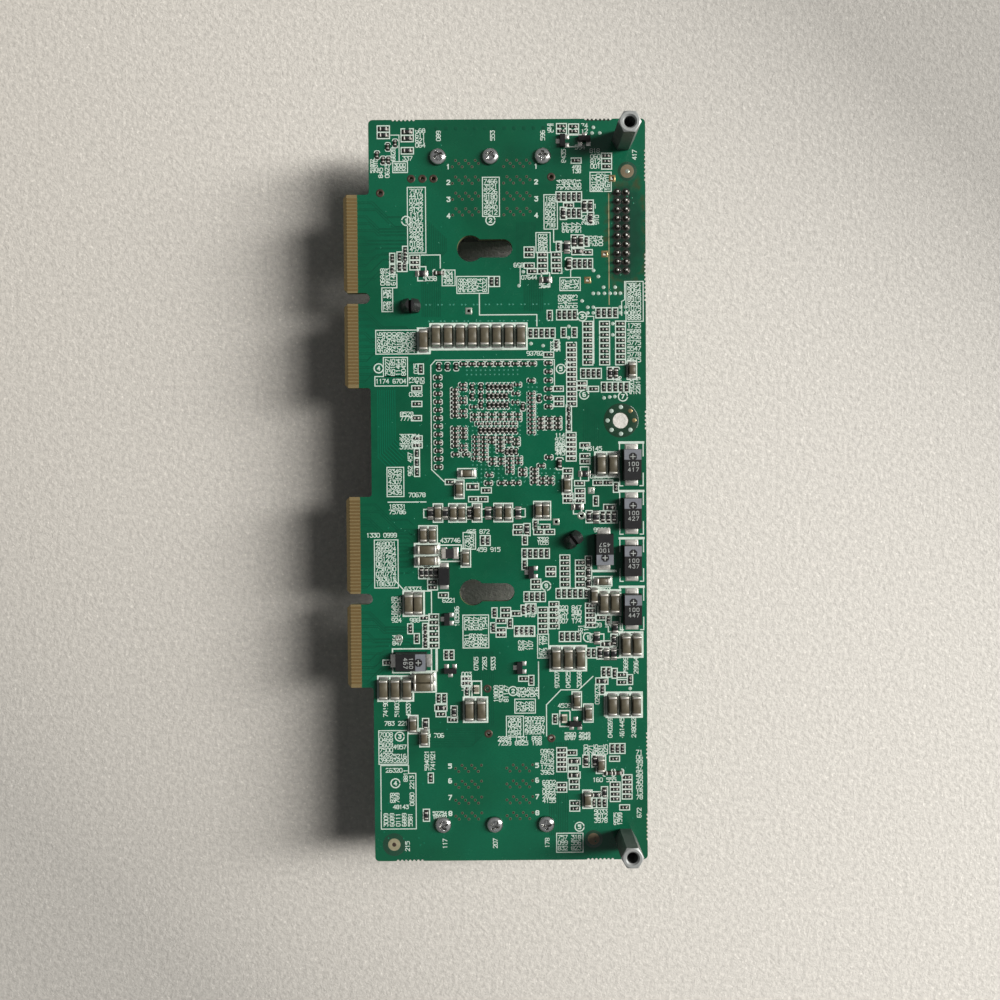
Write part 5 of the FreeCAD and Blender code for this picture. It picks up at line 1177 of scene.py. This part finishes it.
@dataclass
class ChipSet:
    """A set of ceramic chips: a bevelled body, wrapped ends and a solder fillet at each end.

    The fillet is a sheet over u across the chip, from -1 to 1, and v outward
    from its end, from 0 to 1. Its height is H (1 - v)^2 (1 - u^4) and its half
    width w + flare (0.3 + 0.7 v).
    """

    name: str
    nodes: tuple[str, ...]
    body: Finish
    terminal_mm: float
    bevel_mm: float = 0.06
    solder_mm: float = 0.38
    rise: float = 0.85
    # how far the dark window passes a chip's sides (partly pad opening, partly painted shade); it
    # also flares the fillets
    window_mm: float = 0.12
    sunk_mm: float = 0.03
    ends: Finish = TIN
    joint: Finish = SOLDER

    def outer_boxes(self) -> tuple[Array, Array]:
        """Return the corners of whole chips, from the chips or from their pairs of ends."""
        low, high = solid_boxes(self.nodes[-1])
        if len(self.nodes) == 1:
            return low, high
        return low.reshape(-1, 2, 3).min(1), high.reshape(-1, 2, 3).max(1)

    def build(self, top: float) -> bpy.types.Object:
        """Build the set in one piece and hide the plain blocks behind it.

        Args:
            top: the Z of the board's face.

        Returns:
            The piece.
        """
        low, high = self.outer_boxes()
        middle, half = middles(low, high)
        along = np.where(half[:, :1] > half[:, 1:2], (1.0, 0.0), (0.0, 1.0))
        across = along[:, ::-1] * (-1.0, 1.0)
        length, width = half[:, :2].max(1), half[:, :2].min(1)
        surface = Surface(self.name)
        sunk = np.full(len(low), self.sunk_mm * MM)
        shrink = along * self.terminal_mm * 0.9 * MM + np.abs(across) * self.sunk_mm * MM
        surface.add(*bevelled_blocks(low + np.column_stack([shrink, 0.0 * sunk]),
                                     high - np.column_stack([shrink, sunk]),
                                     self.bevel_mm * MM), self.body)
        for sign in (-1.0, 1.0):
            end = middle[:, :2] + sign * along * (length - self.terminal_mm * MM / 2)[:, None]
            reach = along * self.terminal_mm * MM / 2 + np.abs(across) * width[:, None]
            surface.add(*bevelled_blocks(np.column_stack([end - reach, low[:, 2]]),
                                         np.column_stack([end + reach, high[:, 2]]),
                                         self.bevel_mm * MM), self.ends)
            surface.add(*self.fillets(middle, sign * along, across, length, width, high, top),
                        self.joint)
        # Painted shade: a dark sheet under and round each chip, partly the pads' opening and partly
        # the shade between chips.
        grow = along * (self.solder_mm + 0.1) * MM + np.abs(across) * self.window_mm * MM
        ends = np.stack([low[:, :2] - grow, high[:, :2] + grow], 1)
        window = np.dstack([ends[:, [0, 1, 1, 0], 0], ends[:, [0, 0, 1, 1], 1],
                            np.full((len(low), 4), top + Level.WINDOW.value * MM)])
        surface.add(window, np.arange(len(low) * 4).reshape(-1, 4), DARK_FILL_AND_SHADE)
        piece = surface.piece(smooth=True)
        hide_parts(*self.nodes)
        return piece

    def fillets(self, middle: Array, outward: Array, across: Array, length: Array, width: Array,
                high: Array, top: float) -> tuple[Array, Array]:
        """Return the solder fillets at one end of every chip.

        Args:
            middle: the chips' middles.
            outward: unit steps towards that end.
            across: unit steps across the chips.
            length: half lengths.
            width: half widths.
            high: highest corners.
            top: the Z of the board's face.

        Returns:
            Vertices and quads.
        """
        u = np.linspace(-1.0, 1.0, 5)[:, None]
        v = np.linspace(0.0, 1.0, 4)[None, :]
        flare = self.window_mm * 0.8 * MM
        out = (length[:, None, None] - 0.01 * MM) + self.solder_mm * MM * v
        side = u * (width[:, None, None] + flare * (0.3 + 0.7 * v))
        rise = (high[:, 2] - top)[:, None, None] * self.rise
        height = top + Level.VIA.value * MM + rise * (1.0 - v) ** 2 * (1.0 - u ** 4)
        flat = (middle[:, None, None, :2] + outward[:, None, None, :] * out[..., None]
                + across[:, None, None, :] * side[..., None])
        points = np.concatenate([flat, height[..., None]], -1)
        return points, grid_faces(5, 4, len(middle))


@dataclass
class PolymerCapacitors:
    """The moulded capacitors' finish, polarity band, plus mark and plain figures."""

    lift_mm: float = 0.012
    length_mm: float = 7.3
    width_mm: float = 4.3
    draft_mm: float = 0.18
    band_mm: float = 2.35
    plus_mm: float = 1.65

    def build(self) -> bpy.types.Object:
        """Draw the marks on every capacitor's top."""
        dress(MOULD, "polymer_capacitors")
        dress(TIN, "polymer_capacitor_leads")
        layers = (Lines(), Lines(), Lines())
        leads = middles(*solid_boxes("polymer_capacitor_leads"))[0][:, :2].reshape(-1, 2, 2) / MM
        for number, (start, end) in enumerate(leads):
            step = (end - start) / np.linalg.norm(end - start)
            turn = np.array([step, (-step[1], step[0])])
            for layer, marks in zip(layers, self.marks(number)):
                layer.strokes += marks.turned(turn, (start + end) / 2)
        surface = Surface("capacitor_marks")
        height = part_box("polymer_capacitors")[1][2] + self.lift_mm * MM
        for level, (layer, finish) in enumerate(zip(layers, (BAND, MOULD, PALE_INK))):
            surface.add(*layer.quads(height + 0.006 * level * MM), finish)
        return surface.piece()

    def marks(self, number: int) -> tuple[Lines, Lines, Lines]:
        """Return one capacitor's marks about its middle, its marked end at +X.

        Args:
            number: the capacitor's number, which varies its second row.

        Returns:
            The band, the eight-sided notch in it, and the plus with two rows of figures.
        """
        band, notch, ink = Lines(), Lines(), Lines()
        half, side = self.length_mm / 2 - self.draft_mm, self.width_mm / 2 - self.draft_mm
        x, wide = half - self.band_mm / 2, side - self.band_mm / 2
        band.path([(x, -wide), (x, wide)], self.band_mm)
        x = half - self.plus_mm
        notch.arc(x, 0.0, 0.5, 22.5, 360.0, 0.74, 9)
        notch.path([(x, 0.0), (x - 0.25, 0.0)], 1.2)
        ink.path([(x - 0.5, 0.0), (x + 0.5, 0.0)], 0.2)
        ink.path([(x, -0.5), (x, 0.5)], 0.2)
        for row, figures in enumerate(("100", f"4{number + 1}7")):
            text = Lines()
            text.text(figures, 0.0, 0.0, 0.82, width=0.13, pitch=1.12)
            ink.strokes += text.turned(np.array([(0, -1), (1, 0)]), (half - 3.75 - 1.3 * row, 1.1))
        return band, notch, ink


@dataclass
class Joints:
    """Solder that isn't a chip's: header cones, lead fillets and the processor's balls."""

    top: float
    cone_mm: float = 0.8
    proud_mm: float = 0.16
    bead_mm: float = 0.3
    balls_across: int = 26
    ball_edge_mm: float = 0.4

    def header_cones(self) -> bpy.types.Object:
        """Build the cone of solder round each header pin.

        Its height falls from the pin's tip as h (1 - r / R)^1.7, and a bright tip rounds it off.
        The cone is solder painted dark, a painted dark reflection, and a dark ring at its foot is
        partly the pad's opening and partly painted shade.
        """
        low, high = solid_boxes("header_pins")
        places = raised(middles(low, high)[0], self.top)
        height = (high[0, 2] - self.top) / MM + self.proud_mm
        cone = [(self.cone_mm * (0.04 + 0.96 * out), height * (1.0 - out) ** 1.7)
                for out in np.linspace(1.0, 0.0, 7)] + [(0.0, height * 1.01)]
        tip = [(0.30, height * 0.86), (0.27, height * 0.97), (0.14, height * 1.03),
               (0.0, height * 1.05)]
        # Painted shade: a dark ring round each pin's foot, partly the pad's opening.
        pad = [(0.98, 0.006), (0.95, 0.016), (0.8, 0.018)]
        surface = Surface("header_solder")
        for profile, steps, finish in ((cone, 14, SOLDER_PAINTED_DARK), (tip, 10, SOLDER), (pad, 16, DARK_FILL_AND_SHADE)):
            surface.revolve(profile, places, steps, finish)
        return surface.piece(smooth=True, angle=70.0)

    def lead_fillets(self) -> bpy.types.Object:
        """Build a low bead of solder over the foot of each flat lead.

        Its height is H (1 - u^4) (1 - v^4), with u and v from -1 to 1 across the foot.
        """
        surface = Surface("lead_solder")
        u, v = np.meshgrid(np.linspace(-1, 1, 7), np.linspace(-1, 1, 7), indexing="ij")
        crown = (0.01 + 0.16 * (1.0 - u ** 4) * (1.0 - v ** 4)) * MM
        for node in ("polymer_capacitor_leads", "transistor_leads", "power_diode_leads",
                     "fuse_terminals"):
            middle, half = (part[:, None, None, :2] for part in middles(*solid_boxes(node)))
            flat = middle + (half + self.bead_mm * MM) * np.stack([u, v], -1)
            height = np.broadcast_to(self.top + crown, flat.shape[:3])
            surface.add(np.concatenate([flat, height[..., None]], -1),
                        grid_faces(7, 7, len(middle)), SOLDER)
        return surface.piece(smooth=True)

    def balls(self) -> bpy.types.Object:
        """Build the grid of flattened solder balls in the slab's place."""
        low, high = (np.array(corner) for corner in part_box("processor_solder"))
        edge = self.ball_edge_mm * MM
        spots = np.meshgrid(*np.linspace(low[:2] + edge, high[:2] - edge, self.balls_across).T)
        tall = (high[2] - low[2]) / MM
        profile = [(tall * 0.62 * math.sqrt(1.0 - 0.72 * turn ** 2), tall * (turn + 1.0) / 2)
                   for turn in np.linspace(-1.0, 1.0, 5)]
        surface = Surface("solder_balls")
        centres = raised(np.stack(spots, -1).reshape(-1, 2), low[2])
        surface.revolve([(0.0, 0.0), *profile, (0.0, tall)], centres, 6, SOLDER)
        piece = surface.piece(smooth=True, angle=70.0)
        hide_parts("processor_solder")
        return piece


@dataclass
class PanScrews:
    """Pan-head screws with a cross recess, in place of the frame's plain ones.

    The head is a polar grid: its height is edge + (rise - edge) (1 - (r/R)^2.4)^0.5,
    less the recess, which is deepest near the head's middle.
    """

    head_mm: float = 3.8
    edge_mm: float = 0.45
    rise_mm: float = 1.3
    shank_mm: float = 2.0
    reach_mm: float = 8.0
    arm_mm: float = 0.55
    span_mm: float = 2.3
    recess_mm: float = 0.95
    turn_deg: float = 31.0
    rings: int = 30
    columns: int = 80

    def head(self, turn: float) -> tuple[Array, Array]:
        """Return one head about the origin, its recess turned.

        Args:
            turn: the recess's angle in radians.

        Returns:
            Vertices and quads, in metres.
        """
        radius = self.head_mm / 2
        out = np.sin(np.linspace(1.0, 0.0, self.rings) * np.pi / 2)[:, None] * radius
        angle = np.linspace(0.0, 2.0 * np.pi, self.columns, endpoint=False)[None, :]
        across, along = out * np.cos(angle - turn), out * np.sin(angle - turn)
        near = np.minimum(np.abs(across), np.abs(along))
        far = np.maximum(np.abs(across), np.abs(along))
        inside = (np.clip((self.arm_mm / 2 + 0.08 - near) / 0.14, 0.0, 1.0)
                  * np.clip((self.span_mm / 2 - far) / 0.3, 0.0, 1.0))
        crown = np.sqrt(np.maximum(1.0 - (out / radius) ** 2.4, 0.0))
        height = self.edge_mm + (self.rise_mm - self.edge_mm) * crown
        height = height - inside * self.recess_mm * (1.0 - 0.45 * far / self.span_mm)
        points = np.stack([out * np.cos(angle), out * np.sin(angle), height], -1)
        return points * MM, grid_faces(self.rings, self.columns, closed=True)

    def build(self, *nodes: str) -> bpy.types.Object:
        """Build a screw for each of the three in every node.

        Args:
            nodes: nodes of three screws in a row along X.

        Returns:
            The piece.
        """
        surface = Surface("pan_head_screws")
        half = self.head_mm / 2
        shank = self.shank_mm / 2
        skirt = [(0.0, -self.reach_mm), (shank, -self.reach_mm), (shank, 0.0),
                 (half - 0.08, 0.0), (half, 0.08), (half, self.edge_mm)]
        for node in nodes:
            low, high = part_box(node)
            base = high[2] - self.rise_mm * MM
            y = (low[1] + high[1]) / 2
            for number, x in enumerate(np.linspace(low[0] + half * MM, high[0] - half * MM, 3)):
                centre = np.array([x, y, base])
                points, faces = self.head(math.radians(self.turn_deg * (number + 1)))
                surface.add(points + centre, faces, NICKEL)
                surface.revolve(skirt, centre[None, :], 40, NICKEL)
        piece = surface.piece(smooth=True, angle=42.0)
        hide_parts(*nodes)
        return piece


@dataclass(frozen=True)
class Hardware:
    """Finishes of the parts that the frame already gives their shape."""

    finishes: tuple[tuple[Finish, str], ...] = (
        (MASK, "circuit_board"),
        (GOLD, "edge_contacts_upper edge_contacts_lower port_contacts_upper port_contacts_lower"),
        (DIECAST, "receptacle_housing_upper receptacle_housing_lower"),
        (INSULATOR, "port_insert_upper_left port_insert_upper_right port_insert_lower_left"
                    " port_insert_lower_right header_insulator fuse"),
        (NICKEL, "standoff_screws"),
        (DARK_STEEL, "standoff_upper standoff_lower"),
        (PACKAGE, "processor_substrate"),
        (MOULD, "processor_cap transistors power_diode regulator_chips memory_chip"),
        (PAD_GREY, "thermal_pad"),
        (ANODISED, "heat_sink"),
        (NYLON, "push_pin_upper push_pin_lower"),
        (SPRING, "push_pin_springs"),
        (TIN, "header_pins transistor_leads power_diode_leads fuse_terminals memory_chip_leads"),
        (WHITE_BASE, "indicator_bases"),
        (LENS, "indicator_lenses"),
        (FERRITE, "power_inductors"),
        (BROWN, "underside_capacitors"),
        (CAN, "crystal"),
    )

    def dress(self) -> None:
        """Give each remaining node its finish."""
        for finish, nodes in self.finishes:
            dress(finish, *nodes.split())


# --- floor, light, camera

@dataclass
class Studio:
    """The foam sheet, a tall soft window on the right, a grey sky and the camera.

    The window is a few suns one above another, over sun_angle in height and
    pane_angle in width. Their shares follow the height of a disc's chords.
    """

    floor_size: float = 1.6
    sun_strength: float = 4.9
    sun_angle: float = 43.0
    pane_angle: float = 15.0
    panes: int = 4
    elevation: float = 36.5
    azimuth: float = 11.0
    sky: float = 0.07
    shine: float = 0.45
    backdrop: float = 0.8
    sun_tint: Rgb = (1.0, 0.985, 0.955)
    sky_tint: Rgb = (0.97, 0.985, 1.0)
    view_deg: float = 53.3048
    camera_mm: Rgb = (0.31, 3.5, 251.6)
    camera_turn: Rgb = (-1.276, -0.145, -0.397)

    def floor(self) -> bpy.types.Object:
        """Lay the foam sheet under the lowest part."""
        side = np.linspace(-self.floor_size / 2, self.floor_size / 2, 9)
        places = np.stack(np.meshgrid(side, side), -1).reshape(-1, 2)
        mesh = bpy.data.meshes.new("foam_floor")
        mesh.from_pydata(raised(places, CAD_BOUNDS[0][2]).tolist(), [], grid_faces(9, 9).tolist())
        mesh.materials.append(FOAM.material())
        floor = stood("foam_floor", mesh)
        return floor

    def light(self) -> None:
        """Hang the window's panes and set the sky."""
        offsets = (np.arange(self.panes) + 0.5) / self.panes * 2.0 - 1.0
        shares = np.sqrt(1.0 - offsets ** 2)
        for number, (offset, share) in enumerate(zip(offsets, shares / shares.sum())):
            sun = bpy.data.lights.new(f"window_pane_{number}", "SUN")
            sun.energy = self.sun_strength * share
            sun.angle = math.radians(self.pane_angle)
            sun.color = self.sun_tint
            height = self.elevation + offset * self.sun_angle / 2.0
            stood(sun.name, sun).rotation_euler = np.radians((0.0, 90.0 - height, self.azimuth))
        self.dome()

    def dome(self) -> None:
        """Set the sky: dim as a light, pale as a backdrop, and brighter in reflections.

        In a reflection its strength rises from the zenith to a ring 25 to 60
        degrees off it, falls to the horizon, and is greater towards +X.
        """
        world = bpy.data.worlds.new("sky")
        world.use_nodes = True
        graph = Graph(world.node_tree)
        background = world.node_tree.nodes["Background"]
        background.inputs["Color"].default_value = (*self.sky_tint, 1.0)
        x, _, z = graph.parts(graph.node("TexCoord").outputs["Generated"])
        ring = graph.math("MULTIPLY", graph.steps(z, 0.99, 0.91, 0.2, 1.0),
                          graph.steps(z, 0.5, 0.05, 1.0, 0.35))
        side = graph.steps(x, -0.8, 0.8, 0.45, 1.0)
        shine = graph.math("MULTIPLY", graph.math("MULTIPLY", ring, side), self.shine)
        rays = graph.node("LightPath")
        bounced = graph.math("ADD", rays.outputs["Is Glossy Ray"],
                             rays.outputs["Is Transmission Ray"], clamp=True)
        strength = graph.math("ADD", graph.math("MULTIPLY", bounced, shine), self.sky)
        seen = graph.math("MULTIPLY", rays.outputs["Is Camera Ray"], self.backdrop)
        graph.link(graph.math("ADD", strength, seen), background.inputs["Strength"])
        bpy.context.scene.world = world

    def camera(self) -> None:
        """Set the camera above the board, looking almost straight down."""
        lens = bpy.data.cameras.new("overhead")
        lens.angle = math.radians(self.view_deg)
        lens.clip_start = 0.01
        camera = stood("overhead", lens)
        camera.location = np.array(self.camera_mm) * MM
        camera.rotation_euler = np.radians(self.camera_turn)
        bpy.context.scene.camera = camera


def main() -> None:
    """Build every group in order and report each piece."""
    logging.basicConfig(level=logging.INFO, format="%(name)s %(message)s")
    bpy.context.scene.view_settings.view_transform = "Standard"
    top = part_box("circuit_board")[1][2]
    Hardware().dress()
    copper = Copper(top)
    copper.tracks()
    copper.pads()
    Legend(top + Level.PRINT.value * MM).build()
    for chips in (
            ChipSet("small_resistor_chips", ("small_resistors",), RESIST, 0.2, rise=0.6,
                    ends=TIN_AND_GLINT, joint=SOLDER_PAINTED_DARK),
            ChipSet("small_capacitor_chips", ("small_capacitors",), DIELECTRIC, 0.22, rise=0.6,
                    window_mm=0.24, ends=TIN_AND_GLINT, joint=SOLDER_PAINTED_DARK),
            ChipSet("medium_resistor_chips", ("medium_resistors",), RESIST, 0.3, ends=TIN_AND_GLINT,
                    joint=SOLDER_PAINTED_DARK),
            ChipSet("medium_capacitor_chips", ("medium_capacitors",), DIELECTRIC, 0.35, 0.08,
                    ends=TIN_AND_GLINT, joint=SOLDER_PAINTED_DARK),
            ChipSet("large_resistor_chips", ("large_resistors", "large_resistors_terminals"),
                    RESIST, 0.4, 0.07, 0.45),
            ChipSet("large_capacitor_chips", ("large_capacitors", "large_capacitors_terminals"),
                    BROWN, 0.5, 0.12, 0.5, 0.6),
            ChipSet("bulk_capacitor_chips", ("bulk_capacitors", "bulk_capacitors_terminals"),
                    BROWN, 0.55, 0.14, 0.6, 0.5)):
        chips.build(top)
    PolymerCapacitors().build()
    PanScrews().build("receptacle_screws_upper", "receptacle_screws_lower")
    joints = Joints(top)
    joints.header_cones()
    joints.lead_fillets()
    joints.balls()
    studio = Studio()
    studio.floor()
    studio.light()
    studio.camera()


if __name__ == "__main__":
    main()
